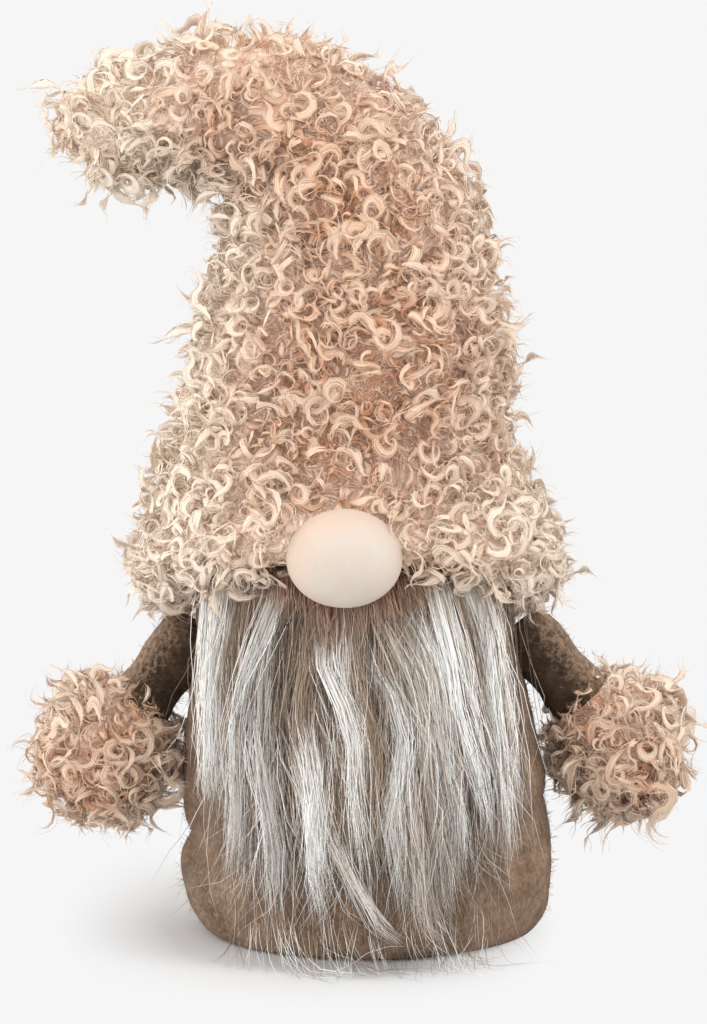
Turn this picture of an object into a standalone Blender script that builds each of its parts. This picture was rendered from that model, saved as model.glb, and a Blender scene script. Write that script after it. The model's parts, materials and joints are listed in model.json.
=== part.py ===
"""A stuffed holiday gnome: weighted felt body, curly fur hat with a wired tip, fur beard, nose and two arms.

Lengths are in millimetres and become metres as each mesh is made. X runs across the figure, with the side
that the hat's tip bends to at -X. Its front faces -Y, and Z is up from the surface that it stands on.
"""

import math

import bmesh
import bpy
from mathutils import Matrix, Vector

MM = 0.001

# Clearances between pieces
SEAM_GAP = 0.35
TURN_GAP = 0.6
REST_GAP = 0.5

# Body: (half width, height) up its side, from the edge that it stands on to the top of the head
BODY_OUTLINE = [
    (74.0, 0.0),
    (81.0, 3.0),
    (86.5, 14.0),
    (89.5, 34.0),
    (88.5, 60.0),
    (86.5, 89.0),
    (82.0, 113.0),
    (78.0, 138.0),
    (76.0, 160.0),
    (74.5, 185.0),
    (69.5, 208.0),
    (58.0, 230.0),
    (38.0, 246.0),
    (0.0, 253.0),
]
BODY_DEPTH_SHARE = 0.88
BODY_SIDES = 32
FELT = 2.0
HEM_TURN = 2.6
HEAD_LEAN = -8.0
LEAN_HEIGHT = 190.0

# Base: felt panel, stiff board and pellet bag
PANEL_THICK = 2.0
BOARD_THICK = 3.0
BOARD_RADIUS = 69.0
BAG_RADIUS = 58.0
BAG_HEIGHT = 28.0
BAG_FLAT = 48.0

# Nose: a stuffed ball with a gathered hole at its back
NOSE_HALF_WIDTH = 26.5
NOSE_HALF_HEIGHT = 23.0
NOSE_FRONT_DEPTH = 22.0
NOSE_BACK_DEPTH = 14.0
NOSE_HEIGHT = 193.5
NOSE_X = -12.0
NOSE_COVER = 1.6
NOSE_GATHER = 5.0
NOSE_SIDES = 24

# Beard: sewn heading and hanging flap, with its backing and its pile
BEARD_HALF_ANGLE = 62.0
BEARD_HINGE_HEIGHT = 168.0
BEARD_HEADING_TOP = 196.0
BEARD_HEADING_THICK = 6.0
BEARD_BACKING = 1.5
BACKING_BOTTOM = 48.0
PILE_DEPTHS = [(10.0, 4.0), (34.0, 10.0), (60.0, 13.0), (100.0, 15.0), (140.0, 11.0), (168.0, 5.0)]
PILE_BOTTOM = 8.0
LOCK_COUNT = 9
LOCK_COLUMNS = 6
LOCK_POINT = 24.0
LEFT_LIFT = 48.0
RIGHT_LIFT = 30.0
LOCK_RIDGE = 0.3
BEARD_TOP_SLOPE = 32.0

# Hat: (height, centre, half width) of the fur's outside, from the brim to the top of the crown
HAT_OUTLINE = [
    (158.0, -8.5, 101.0),
    (168.0, -8.5, 105.0),
    (182.0, -9.0, 105.5),
    (206.0, -10.7, 99.0),
    (231.0, -12.5, 89.0),
    (255.0, -11.5, 84.0),
    (280.0, -8.0, 80.0),
    (304.0, -6.0, 76.5),
    (328.0, -5.7, 70.0),
    (350.0, -6.0, 63.5),
    (375.0, -7.0, 50.5),
    (395.0, -7.5, 36.0),
    (407.0, -8.0, 21.0),
    (412.0, -8.0, 0.0),
]
HAT_DEPTH_SHARE = 0.88
HAT_SIDES = 36
HAT_SPAN_COUNT = 2
HAT_WALL = 12.0
BRIM_RISE = 19.5
BRIM_SCALLOP = 4.75
BRIM_FADE = 60.0
TUFT = 2.0
TUFTS_ROUND = 9
TUFT_PITCH = 30.0
HAT_FILLING_BOTTOM = 206.0
HEAD_ROOM_BOTTOM = 107.0

# Bend of the hat, which the tip turns on, and the tip as (distance from the bend's centre, radius)
BEND_X = -45.0
BEND_HEIGHT = 396.0
BEND_RADIUS = 45.0
BEND_CLEARANCE = 6.0
BEND_CLEAR_FROM = 15.0
TIP_OUTLINE = [
    (25.0, 40.2),
    (37.0, 36.0),
    (60.0, 30.5),
    (84.0, 24.5),
    (96.0, 19.5),
    (103.0, 12.5),
    (106.0, 0.0),
]
TIP_DROOP = 3.0
TIP_WALL = 8.0
TIP_SIDES = 28

# Wire in the hat
WIRE_RADIUS = 1.3
WIRE_EYE = 3.0
WIRE_FOOT_HEIGHT = 268.0
WIRE_TIP_END = 90.0

# Arms
SHOULDER_HEIGHT = 140.0
SHOULDER_STANDOFF = 3.0
ARM_RADIUS = 15.0
WRIST_RADIUS = 14.0
SLEEVE_LENGTH = 50.0
LEFT_ARM_TILT = 35.0
RIGHT_ARM_TILT = 40.0
ARM_SIDES = 20
MITTEN_START = 33.0
MITTEN_OUTLINE = [
    (33.0, 20.0),
    (41.0, 26.5),
    (52.0, 31.0),
    (66.0, 32.0),
    (80.0, 29.5),
    (91.0, 22.0),
    (98.0, 0.0),
]
MITTEN_WALL = 8.0

# Stitches that hold the arms and the nose
THREAD_RADIUS = 1.1
KNOT_RADIUS = 3.4
KNOT_LENGTH = 5.0
THREAD_BITE = 14.0

COLOURS = {
    "curly_fur": (0.74, 0.53, 0.42, 0.95),
    "beard_fur": (0.68, 0.66, 0.62, 0.7),
    "beard_cloth": (0.30, 0.24, 0.19, 0.9),
    "brown_felt": (0.145, 0.105, 0.075, 0.95),
    "nose_jersey": (0.83, 0.69, 0.60, 0.85),
    "fibre_filling": (0.88, 0.88, 0.86, 0.95),
    "board": (0.55, 0.45, 0.33, 0.8),
    "pellet_bag": (0.78, 0.76, 0.70, 0.9),
    "wire": (0.55, 0.56, 0.58, 0.35),
    "thread": (0.20, 0.15, 0.11, 0.8),
}


def clear_scene():
    for old in list(bpy.data.objects):
        bpy.data.objects.remove(old, do_unlink=True)


def material(name):
    """The Principled material of one cloth, fur or metal."""
    found = bpy.data.materials.get(name)
    if found:
        return found
    red, green, blue, roughness = COLOURS[name]
    made = bpy.data.materials.new(name)
    made.use_nodes = True
    shader = made.node_tree.nodes["Principled BSDF"]
    shader.inputs["Base Color"].default_value = (red, green, blue, 1.0)
    shader.inputs["Roughness"].default_value = roughness
    shader.inputs["Metallic"].default_value = 1.0 if name == "wire" else 0.0
    made.diffuse_color = (red, green, blue, 1.0)
    return made


def lean(height):
    """How far the body's middle stands to one side at a height."""
    share = min(max(height / LEAN_HEIGHT, 0.0), 1.0)
    return HEAD_LEAN * share * share * (3.0 - 2.0 * share)


def value_at(pairs, place):
    """The second number of pairs, read at a place along the first, on straight lines."""
    if place <= pairs[0][0]:
        return pairs[0][1]
    for (start, first), (end, last) in zip(pairs, pairs[1:]):
        if place <= end:
            return first + (last - first) * (place - start) / (end - start)
    return pairs[-1][1]


def body_curve():
    """The body's side as smoothed (half width, height) points."""
    points = [tuple(point) for point in smoothed([(wide, up, 0.0) for wide, up in BODY_OUTLINE], 2)]
    return [(wide, up) for wide, up, _ in points]


def body_half_width(height):
    return value_at([(up, wide) for wide, up in body_curve()], height)


def body_hang_width(height):
    """Half width of what hangs down the body: it drops straight from the widest place."""
    widest = max(body_curve())
    return widest[0] if height < widest[1] else body_half_width(height)


def smoothed(points, spans):
    """Catmull-Rom points through the given ones, with spans steps from each to the next."""
    vectors = [Vector(point) for point in points]
    ends = [vectors[0], *vectors, vectors[-1]]
    found = []
    for before, start, end, after in zip(ends, ends[1:], ends[2:], ends[3:]):
        for step in range(spans):
            t = step / spans
            found.append(
                0.5
                * (
                    2.0 * start
                    + (end - before) * t
                    + (2.0 * before - 5.0 * start + 4.0 * end - after) * t * t
                    + (3.0 * start - before - 3.0 * end + after) * t * t * t
                )
            )
    return found + [vectors[-1]]


def offset_outline(outline, distance):
    """A (radius, height) outline moved outwards, or inwards where distance is negative."""
    moved = []
    for index, (radius, height) in enumerate(outline):
        before = outline[max(index - 1, 0)]
        after = outline[min(index + 1, len(outline) - 1)]
        along = Vector((after[0] - before[0], after[1] - before[1])).normalized()
        if radius == 0.0:
            moved.append((0.0, height + math.copysign(distance, along.y * distance)))
        else:
            moved.append((max(radius + along.y * distance, 0.2), height - along.x * distance))
    return moved


def new_object(name, bm, colour, smooth=True):
    bmesh.ops.recalc_face_normals(bm, faces=bm.faces)
    bmesh.ops.scale(bm, vec=(MM, MM, MM), verts=bm.verts)
    mesh = bpy.data.meshes.new(name)
    bm.to_mesh(mesh)
    bm.free()
    made = bpy.data.objects.new(name, mesh)
    bpy.context.scene.collection.objects.link(made)
    if colour:
        mesh.materials.append(material(colour))
    if smooth:
        mesh.shade_smooth()
        mesh.set_sharp_from_angle(angle=math.radians(45.0))
    return made


def rings_to_faces(bm, rings, closed_loop=False):
    """Faces between neighbouring rings of vertices. A ring of one vertex is a pole."""
    pairs = list(zip(rings, rings[1:]))
    if closed_loop:
        pairs.append((rings[-1], rings[0]))
    for first, second in pairs:
        sides = max(len(first), len(second))
        if sides == 1:
            continue
        for index in range(sides):
            after = (index + 1) % sides
            corners = [first[index % len(first)], first[after % len(first)]]
            corners += [second[after % len(second)], second[index % len(second)]]
            bm.faces.new(list(dict.fromkeys(corners)))


def lathe_mesh(outline, sides, depth_share=1.0, leaning=False, tufts=()):
    """A solid turned from a loop of (radius, height) points. tufts gives its first rings' lumps."""
    bm = bmesh.new()
    rings = []
    depths = list(tufts) + [0.0] * (len(outline) - len(tufts))
    for (radius, height), tuft in zip(outline, depths):
        middle = lean(height) if leaning else 0.0
        if radius == 0.0:
            rings.append([bm.verts.new((middle, 0.0, height))])
            continue
        ring = []
        for side in range(sides):
            angle = 2.0 * math.pi * side / sides
            out = radius + tuft * tuft_wave(angle, height)
            x, y = out * math.sin(angle), -out * depth_share * math.cos(angle)
            ring.append(bm.verts.new((middle + x, y, height)))
        rings.append(ring)
    rings_to_faces(bm, rings, closed_loop=True)
    return bm


def tuft_wave(angle, place):
    """Soft lumps of fur, from -1 to 1, round a piece and along it."""
    return math.sin(TUFTS_ROUND * angle + 2.1 * math.sin(place / TUFT_PITCH)) * math.sin(
        2.0 * math.pi * place / TUFT_PITCH + 2.0 * math.sin(2.0 * angle)
    )


def lathe(name, outline, sides, colour, **shape):
    return new_object(name, lathe_mesh(outline, sides, **shape), colour)


def helper(obj):
    """Marks a cutter, which isn't a piece."""
    obj.hide_render = True
    obj.display_type = "WIRE"
    return obj


def cut(target, *cutters):
    for cutter in cutters:
        modifier = target.modifiers.new("cut_" + cutter.name, "BOOLEAN")
        modifier.operation = "DIFFERENCE"
        modifier.solver = "EXACT"
        modifier.object = cutter


def join(target, *others):
    for other in others:
        modifier = target.modifiers.new("join_" + other.name, "BOOLEAN")
        modifier.operation = "UNION"
        modifier.solver = "EXACT"
        modifier.object = other


def place(obj, location, turn_y=0.0, parent=None, turn_x=0.0):
    """Puts an object at a place in millimetres, turned about Y or X, under its joint's empty if any."""
    spot = Vector(location) * MM
    if parent:
        obj.parent = parent
        spot = spot - parent.location
    obj.location = spot
    obj.rotation_euler = (math.radians(turn_x), math.radians(turn_y), 0.0)
    return obj


def joint_empty(name, location):
    made = bpy.data.objects.new(name, None)
    made.empty_display_size = 0.02
    made.location = Vector(location) * MM
    bpy.context.scene.collection.objects.link(made)
    return made


def solid_outline(points):
    """An open outline from axis to axis, or from its foot on a flat end, as a closed loop for the lathe."""
    loop = list(points)
    if loop[0][0] > 0.0:
        loop.insert(0, (0.0, loop[0][1]))
    if loop[-1][0] > 0.0:
        loop.append((0.0, loop[-1][1]))
    return loop


def thread_outline(length, gap=0.0):
    """A stitch of twisted thread with a knot at each end, along its own axis from 0 to length."""
    thin, knot = THREAD_RADIUS + gap, KNOT_RADIUS + gap
    half = KNOT_LENGTH / 2.0
    near = [(0.0, -gap), (0.7 * knot, 0.5 - gap), (knot, half), (0.7 * knot, KNOT_LENGTH - 0.5 + gap)]
    near.append((thin, KNOT_LENGTH + gap))
    far = [(radius, length - along) for radius, along in reversed(near)]
    return near + far


def body_loop(inset, foot):
    """The body's outline moved inwards, cut level at a height near its foot."""
    inner = offset_outline(body_curve(), -inset)
    kept = [point for point in inner if point[1] > foot + 1.0]
    return [(value_at([(up, wide) for wide, up in inner], foot), foot), *kept]


def make_body():
    rim = BODY_OUTLINE[0][0] - HEM_TURN
    inner = [(rim, 0.0), *body_loop(FELT, PANEL_THICK)]
    cover = lathe(
        "body_cover",
        body_curve() + list(reversed(inner)),
        BODY_SIDES,
        "brown_felt",
        depth_share=BODY_DEPTH_SHARE,
        leaning=True,
    )
    panel_radius = rim - SEAM_GAP
    lathe(
        "base_panel",
        solid_outline([(panel_radius, 0.0), (panel_radius, PANEL_THICK)]),
        BODY_SIDES,
        "brown_felt",
        depth_share=BODY_DEPTH_SHARE,
    )
    board_bottom = PANEL_THICK + SEAM_GAP
    board_top = board_bottom + BOARD_THICK
    lathe(
        "base_board",
        solid_outline([(BOARD_RADIUS, board_bottom), (BOARD_RADIUS, board_top)]),
        BODY_SIDES,
        "board",
        depth_share=BODY_DEPTH_SHARE,
    )
    bag_bottom = board_top + SEAM_GAP
    bag = bag_outline(bag_bottom, 0.0)
    lathe(
        "weight_bag",
        solid_outline(bag),
        BODY_SIDES,
        "pellet_bag",
        depth_share=BODY_DEPTH_SHARE,
        leaning=True,
    )
    pocket = bag_outline(bag_bottom, SEAM_GAP)
    filling = body_loop(FELT + SEAM_GAP, bag_bottom)
    filling = lathe(
        "body_filling",
        filling + list(reversed(pocket)),
        BODY_SIDES,
        "fibre_filling",
        depth_share=BODY_DEPTH_SHARE,
        leaning=True,
    )
    return cover, filling


def bag_outline(bottom, gap):
    """Side of the pellet bag: flat below, bulging at mid height, domed above."""
    middle, top = bottom + 0.45 * BAG_HEIGHT, bottom + BAG_HEIGHT
    side = [(BAG_FLAT + gap, bottom), (BAG_RADIUS + gap, middle - 0.2 * BAG_HEIGHT)]
    side += [(BAG_RADIUS + gap, middle), (0.82 * BAG_RADIUS + gap, middle + 0.38 * BAG_HEIGHT)]
    return side + [(0.45 * BAG_RADIUS + gap, top - 0.04 * BAG_HEIGHT + gap), (0.0, top + gap)]


def body_front(height):
    """How far forward the body's front stands at a height."""
    return body_half_width(height) * BODY_DEPTH_SHARE


def nose_centre():
    return Vector((NOSE_X, -(body_front(NOSE_HEIGHT) + SEAM_GAP + NOSE_BACK_DEPTH), NOSE_HEIGHT))


def nose_outline(inset, rings=5):
    """The ball's half section along its depth: back at positive heights, front at negative ones."""
    found = []
    for step in range(2 * rings + 1):
        angle = math.pi * step / (2 * rings)
        deep = NOSE_FRONT_DEPTH if step < rings else NOSE_BACK_DEPTH
        radius = (NOSE_HALF_WIDTH - inset) * math.sin(angle)
        found.append((max(radius, 0.0), -(deep - inset) * math.cos(angle)))
    found[0] = (0.0, found[0][1])
    found[-1] = (0.0, found[-1][1])
    return found


def open_back(outline, hole):
    """The outline with its back pole opened to a hole of that radius."""
    kept = [point for point in outline[:-1] if point[1] < 0.0 or point[0] > hole * 1.3]
    pole, last = outline[-1], kept[-1]
    return kept + [(hole, pole[1] + (last[1] - pole[1]) * hole / last[0])]


def stand_nose(obj):
    """Turns a piece lathed along Z to face the front, at the nose's place and height share."""
    height_share = NOSE_HALF_HEIGHT / NOSE_HALF_WIDTH
    obj.data.transform(Matrix.Diagonal((1.0, height_share, 1.0, 1.0)))
    return place(obj, nose_centre(), turn_x=-90.0)


def make_nose():
    outer = open_back(nose_outline(0.0), NOSE_GATHER)
    inner = open_back(nose_outline(NOSE_COVER), NOSE_GATHER)
    cover = lathe("nose_cover", outer + list(reversed(inner)), NOSE_SIDES, "nose_jersey")
    stand_nose(cover)
    stuffing = lathe("nose_filling", nose_outline(NOSE_COVER + SEAM_GAP), NOSE_SIDES, "fibre_filling")
    stand_nose(stuffing)
    room = helper(lathe("nose_room", nose_outline(-SEAM_GAP), NOSE_SIDES, None))
    stand_nose(room)
    return stuffing, room


def hat_rings(inset, bottom, spans=HAT_SPAN_COUNT):
    """Rings of the crown as (height, centre, half width), moved inwards, from a bottom height to its top."""
    found = [tuple(point) for point in smoothed(HAT_OUTLINE, spans)]
    top = found[-1][0] - inset
    rings = [(up, middle, wide - inset) for up, middle, wide in found if up < top - 2.0]
    rings = [ring for ring in rings if ring[2] > 4.0]
    low = rings[0]
    if bottom < low[0]:
        rings.insert(0, (bottom, low[1], low[2]))
    else:
        rings = [ring for ring in rings if ring[0] > bottom + 2.0]
        wide = value_at([(up, half) for up, _, half in found], bottom) - inset
        middle = value_at([(up, centre) for up, centre, _ in found], bottom)
        rings.insert(0, (bottom, middle, wide))
    return rings + [(top, found[-1][1], 0.0)]


def hat_middle(height):
    return value_at([(up, middle) for up, middle, _ in HAT_OUTLINE], height)


def brim_lift(angle, height):
    """How much higher than at its sides the brim runs at an angle from the front."""
    wave = BRIM_RISE * math.cos(angle) + BRIM_SCALLOP * (1.0 + math.cos(2.0 * angle))
    fade = min(max(1.0 - (height - HAT_OUTLINE[0][0]) / BRIM_FADE, 0.0), 1.0)
    return wave * fade


def crown_mesh(rings, tuft=0.0, wavy=True):
    bm = bmesh.new()
    made = []
    for height, middle, wide in rings:
        if wide == 0.0:
            made.append([bm.verts.new((middle, 0.0, height))])
            continue
        ring = []
        for side in range(HAT_SIDES):
            angle = 2.0 * math.pi * side / HAT_SIDES
            out = wide + tuft * tuft_wave(angle, height)
            x, y = middle + out * math.sin(angle), -out * HAT_DEPTH_SHARE * math.cos(angle)
            z = height + (brim_lift(angle, height) if wavy else 0.0)
            ring.append(bm.verts.new((x, y, z)))
        made.append(ring)
    bm.faces.new(made[0])
    rings_to_faces(bm, made)
    return bm


def ball(name, radius, colour=None, rings=7):
    outline = []
    for step in range(2 * rings + 1):
        angle = math.pi * step / (2 * rings)
        outline.append((radius * math.sin(angle), -radius * math.cos(angle)))
    outline[0], outline[-1] = (0.0, -radius), (0.0, radius)
    return lathe(name, outline, TIP_SIDES, colour)


def bend_centre():
    return Vector((BEND_X, 0.0, BEND_HEIGHT))


def wire_path():
    """The wire's way from its foot in the hat's filling to the side of the bend that faces the tip."""
    neck = BEND_HEIGHT - BEND_RADIUS
    foot = Vector((hat_middle(WIRE_FOOT_HEIGHT), 0.0, WIRE_FOOT_HEIGHT))
    below = Vector((hat_middle(neck), 0.0, neck))
    out = bend_centre() + tip_axis() * (BEND_RADIUS - 2.0 * WIRE_RADIUS)
    return [tuple(point) for point in smoothed([foot, below, bend_centre(), out], 4)]


def tube(name, points, radius, colour):
    """A round rod along points, with filled ends."""
    curve = bpy.data.curves.new(name, "CURVE")
    curve.dimensions = "3D"
    curve.bevel_depth = radius * MM
    curve.bevel_resolution = 1
    curve.use_fill_caps = True
    spline = curve.splines.new("POLY")
    spline.points.add(len(points) - 1)
    for knot, point in zip(spline.points, points):
        knot.co = (point[0] * MM, point[1] * MM, point[2] * MM, 1.0)
    drawn = bpy.data.objects.new(name + "_line", curve)
    bpy.context.scene.collection.objects.link(drawn)
    mesh = bpy.data.meshes.new_from_object(drawn.evaluated_get(bpy.context.evaluated_depsgraph_get()))
    bpy.data.objects.remove(drawn)
    bm = bmesh.new()
    bm.from_mesh(mesh)
    bmesh.ops.remove_doubles(bm, verts=bm.verts, dist=1e-6)
    bmesh.ops.scale(bm, vec=(1.0 / MM,) * 3, verts=bm.verts)
    return new_object(name, bm, colour)


def tip_axis():
    droop = math.radians(TIP_DROOP)
    return Vector((-math.cos(droop), 0.0, -math.sin(droop)))


def tip_turn():
    return -(90.0 + TIP_DROOP)


def socket_outline(radius, start_radius, steps=6):
    """The ball-shaped hollow from a radius off the axis to its deepest place on the axis."""
    wide = math.asin(start_radius / radius)
    return [
        (radius * math.sin(wide * (1.0 - step / steps)), radius * math.cos(wide * (1.0 - step / steps)))
        for step in range(steps + 1)
    ]


def make_tip(pivot):
    """The tip's fur shell, its filling and the wire in it, all turned about the tip's axis."""
    socket = BEND_RADIUS + TURN_GAP
    lip = TIP_OUTLINE[0]
    outer = [(radius, along) for along, radius in TIP_OUTLINE]
    inner = [(radius, along) for radius, along in offset_outline(outer, -TIP_WALL)]
    reach = [point for point in inner if math.hypot(*point) > socket + 3.0]
    throat = reach[0][0]
    lip_hollow = math.sqrt(socket**2 - lip[0] ** 2)
    hollow = [(lip_hollow, lip[0])]
    hollow += [point for point in socket_outline(socket, lip_hollow)[1:] if point[0] > throat]
    hollow.append((throat, math.sqrt(socket**2 - throat**2)))
    lumps = [0.0] + [0.6 * TUFT] * (len(outer) - 2)
    shell = lathe("hat_tip", outer + list(reversed(hollow + reach)), TIP_SIDES, "curly_fur", tufts=lumps)
    place(shell, bend_centre(), turn_y=tip_turn(), parent=pivot)

    bore = WIRE_RADIUS + SEAM_GAP
    plug = [(radius - SEAM_GAP, along) for radius, along in reach if radius > 0.0]
    plug.append((0.0, reach[-1][1] - SEAM_GAP))
    seat = [point for point in socket_outline(socket, throat - SEAM_GAP) if point[0] > bore]
    seat.append((bore, math.sqrt(socket**2 - bore**2)))
    wire_end = WIRE_TIP_END + SEAM_GAP
    core = [*seat, (bore, wire_end - WIRE_EYE), (WIRE_EYE + SEAM_GAP, wire_end - WIRE_EYE + 0.5)]
    core += [(WIRE_EYE + SEAM_GAP, wire_end), (0.0, wire_end + 0.5)]
    stuffing = lathe("hat_tip_filling", plug + list(reversed(core)), TIP_SIDES, "fibre_filling")
    place(stuffing, bend_centre(), turn_y=tip_turn(), parent=pivot)

    start = socket + SEAM_GAP
    eye = [(WIRE_RADIUS, WIRE_TIP_END - WIRE_EYE + 1.0), (WIRE_EYE, WIRE_TIP_END - WIRE_EYE + 1.5)]
    eye += [(WIRE_EYE, WIRE_TIP_END - 0.5), (0.5 * WIRE_EYE, WIRE_TIP_END)]
    rod = lathe("hat_wire_tip", solid_outline([(WIRE_RADIUS, start), *eye]), 10, "wire")
    place(rod, bend_centre(), turn_y=tip_turn(), parent=pivot)


def hat_inside(name, inset, bottom):
    """What the crown's wall encloses: the inside of the cone and of the bend."""
    cone = new_object(name, crown_mesh(hat_rings(inset, bottom, 1), wavy=False), "fibre_filling")
    join(cone, helper(place(ball(name + "_bend", BEND_RADIUS - inset), bend_centre())))
    return cone


def make_hat(nose_room):
    crown = new_object("hat_crown", crown_mesh(hat_rings(0.0, HAT_OUTLINE[0][0]), tuft=TUFT), "curly_fur")
    clearance = BEND_RADIUS + BEND_CLEARANCE
    edge = math.sqrt(clearance**2 - BEND_CLEAR_FROM**2)
    cap = [(0.0, BEND_CLEAR_FROM), *socket_outline(clearance, edge, 8)]
    sweep = helper(lathe("tip_sweep", cap, TIP_SIDES, None))
    place(sweep, bend_centre(), turn_y=tip_turn())
    bend = helper(place(ball("bend_ball", BEND_RADIUS), bend_centre()))
    hollow = helper(hat_inside("crown_hollow", HAT_WALL, HAT_OUTLINE[0][0] - 2.0 * BRIM_RISE))
    cut(crown, sweep)
    join(crown, bend)
    cut(crown, hollow, nose_room)

    stuffing = hat_inside("hat_filling", HAT_WALL + SEAM_GAP, HAT_FILLING_BOTTOM)
    head = offset_outline(body_curve(), SEAM_GAP)
    head_room = helper(
        lathe(
            "head_room",
            solid_outline([(out, up) for out, up in head if up > HEAD_ROOM_BOTTOM]),
            BODY_SIDES,
            None,
            depth_share=BODY_DEPTH_SHARE,
            leaning=True,
        )
    )
    tube("hat_wire", wire_path(), WIRE_RADIUS, "wire")
    wire_room = helper(tube("wire_room", wire_room_path(), WIRE_RADIUS + SEAM_GAP, None))
    cut(stuffing, head_room, nose_room, wire_room)
    cut(crown, wire_room)


def wire_room_path():
    """The wire's way, made a little longer at its foot and run out through the side of the bend."""
    points = [Vector(point) for point in wire_path()]
    points[0] = points[0] + (points[0] - points[1]).normalized() * SEAM_GAP
    points.append(bend_centre() + tip_axis() * (BEND_RADIUS + 3.0))
    return [tuple(point) for point in points]


def around_body(angle, height, off):
    """A point that stands off the hanging line of the body, at an angle from the front."""
    wide = body_hang_width(height) + off
    x = lean(height) + wide * math.sin(angle)
    return (x, -wide * BODY_DEPTH_SHARE * math.cos(angle), height)


def wrapped_slab(name, angles, rows, back, front, colour):
    """A closed sheet wrapped on the body. back and front give its two faces' points at (angle, row)."""
    bm = bmesh.new()
    grids = []
    for off in (back, front):
        grids.append([[bm.verts.new(off(angle, row)) for angle in angles] for row in rows])
    for grid in grids:
        for upper, lower in zip(grid, grid[1:]):
            for index in range(len(angles) - 1):
                bm.faces.new((upper[index], upper[index + 1], lower[index + 1], lower[index]))
    inner, outer = grids
    for row in (0, -1):
        for index in range(len(angles) - 1):
            bm.faces.new((inner[row][index], inner[row][index + 1], outer[row][index + 1], outer[row][index]))
    for index in range(len(rows) - 1):
        for side in (0, -1):
            near, far = inner[index : index + 2], outer[index : index + 2]
            bm.faces.new((near[0][side], near[1][side], far[1][side], far[0][side]))
    return new_object(name, bm, colour)


def evenly(start, end, count):
    return [start + (end - start) * index / (count - 1) for index in range(count)]


def pile_off(angle, height):
    """Depth of the beard's pile: full in the middle, ridged by its locks and thin at its side edges."""
    edge = math.radians(BEARD_HALF_ANGLE)
    lock = (angle / edge + 1.0) / 2.0 * LOCK_COUNT
    sway = 0.35 * math.sin(height / 22.0 + 1.7 * lock)
    ridge = 1.0 - LOCK_RIDGE * (0.5 + 0.5 * math.cos(2.0 * math.pi * (lock + sway)))
    return value_at(PILE_DEPTHS, height) * ridge * (1.0 - 0.75 * abs(angle / edge) ** 6)


def lock_bottom(angle):
    """Height of the jagged lower edge: a point for each lock, no two the same length."""
    edge = math.radians(BEARD_HALF_ANGLE)
    lock = (angle / edge + 1.0) / 2.0 * LOCK_COUNT
    point = abs(2.0 * (lock - math.floor(lock)) - 1.0)
    longer = 0.5 + 0.5 * math.sin(2.3 * math.floor(lock) + 0.8)
    lift = (LEFT_LIFT if angle < 0.0 else RIGHT_LIFT) * abs(angle / edge) ** 3
    return PILE_BOTTOM + lift + LOCK_POINT * (point**1.5 * (0.6 + 0.4 * longer) + 0.5 * (1.0 - longer))


def make_beard(pivot, nose_room):
    edge = math.radians(BEARD_HALF_ANGLE)
    top = BEARD_HINGE_HEIGHT - REST_GAP
    cloth_back = REST_GAP
    cloth_front = cloth_back + BEARD_BACKING
    pile_back = cloth_front + SEAM_GAP
    heights = [top] + [up for _, up in reversed(body_curve()) if BACKING_BOTTOM + 3.0 < up < top - 3.0]
    heights.append(BACKING_BOTTOM)
    cloth = wrapped_slab(
        "beard_backing",
        evenly(-edge, edge, 19),
        heights,
        lambda angle, height: around_body(angle, height, cloth_back),
        lambda angle, height: around_body(angle, height, cloth_front),
        "beard_cloth",
    )

    slope = math.tan(math.radians(BEARD_TOP_SLOPE))
    shares = evenly(0.0, 1.0, 13)

    def height_of(angle, share):
        bottom = lock_bottom(angle)
        return top + (bottom - top) * share

    def pile_front(angle, share):
        height = height_of(angle, share)
        off = pile_off(angle, height)
        drop = off * slope * max(0.0, 1.0 - 4.0 * share)
        return around_body(angle, height - drop, pile_back + off)

    pile = wrapped_slab(
        "beard_pile",
        evenly(-edge, edge, LOCK_COUNT * LOCK_COLUMNS + 1),
        shares,
        lambda angle, share: around_body(angle, height_of(angle, share), pile_back),
        pile_front,
        "beard_fur",
    )
    for piece in (cloth, pile):
        piece.data.transform(Matrix.Translation(-pivot.location))
        piece.parent = pivot

    low, high = BEARD_HINGE_HEIGHT + REST_GAP, BEARD_HEADING_TOP
    heading = wrapped_slab(
        "beard_heading",
        evenly(-edge, edge, 25),
        [low, (low + high) / 2.0, high],
        lambda angle, height: around_body(angle, height, REST_GAP),
        lambda angle, height: around_body(angle, height, REST_GAP + BEARD_HEADING_THICK),
        "beard_fur",
    )
    cut(heading, nose_room)


def arm_outline(inset, length, wrist):
    """Half section of the sleeve: a round shoulder about the pivot, then a tapering tube to the wrist."""
    radius = ARM_RADIUS - inset
    steps = 5
    shoulder = []
    for step in range(steps + 1):
        angle = 0.5 * math.pi * step / steps
        shoulder.append((radius * math.sin(angle), -radius * math.cos(angle)))
    shoulder[0] = (0.0, -radius)
    middle = (radius + wrist - inset) / 2.0 + 0.6
    return shoulder + [(middle, 0.55 * length), (wrist - inset, length)]


def sliced(bm, point, normal):
    """Cuts away what lies on the normal's side of a plane, and closes the cut."""
    geometry = bm.verts[:] + bm.edges[:] + bm.faces[:]
    bmesh.ops.bisect_plane(bm, geom=geometry, plane_co=point, plane_no=normal, clear_outer=True)
    bmesh.ops.holes_fill(bm, edges=bm.edges, sides=0)
    return bm


def side_wall(side, height):
    """Where the body's side stands at a height, across the figure."""
    return lean(height) + side * body_half_width(height)


def shoulder_face(side):
    """Where the flat end of an arm faces the body: clear of the widest place that it turns past."""
    return side_wall(side, SHOULDER_HEIGHT - 1.5 * ARM_RADIUS) + side * TURN_GAP


def shoulder_place(side):
    """Pivot of an arm, in the middle of its round shoulder."""
    return Vector((shoulder_face(side) + side * SHOULDER_STANDOFF, 0.0, SHOULDER_HEIGHT))


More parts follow.
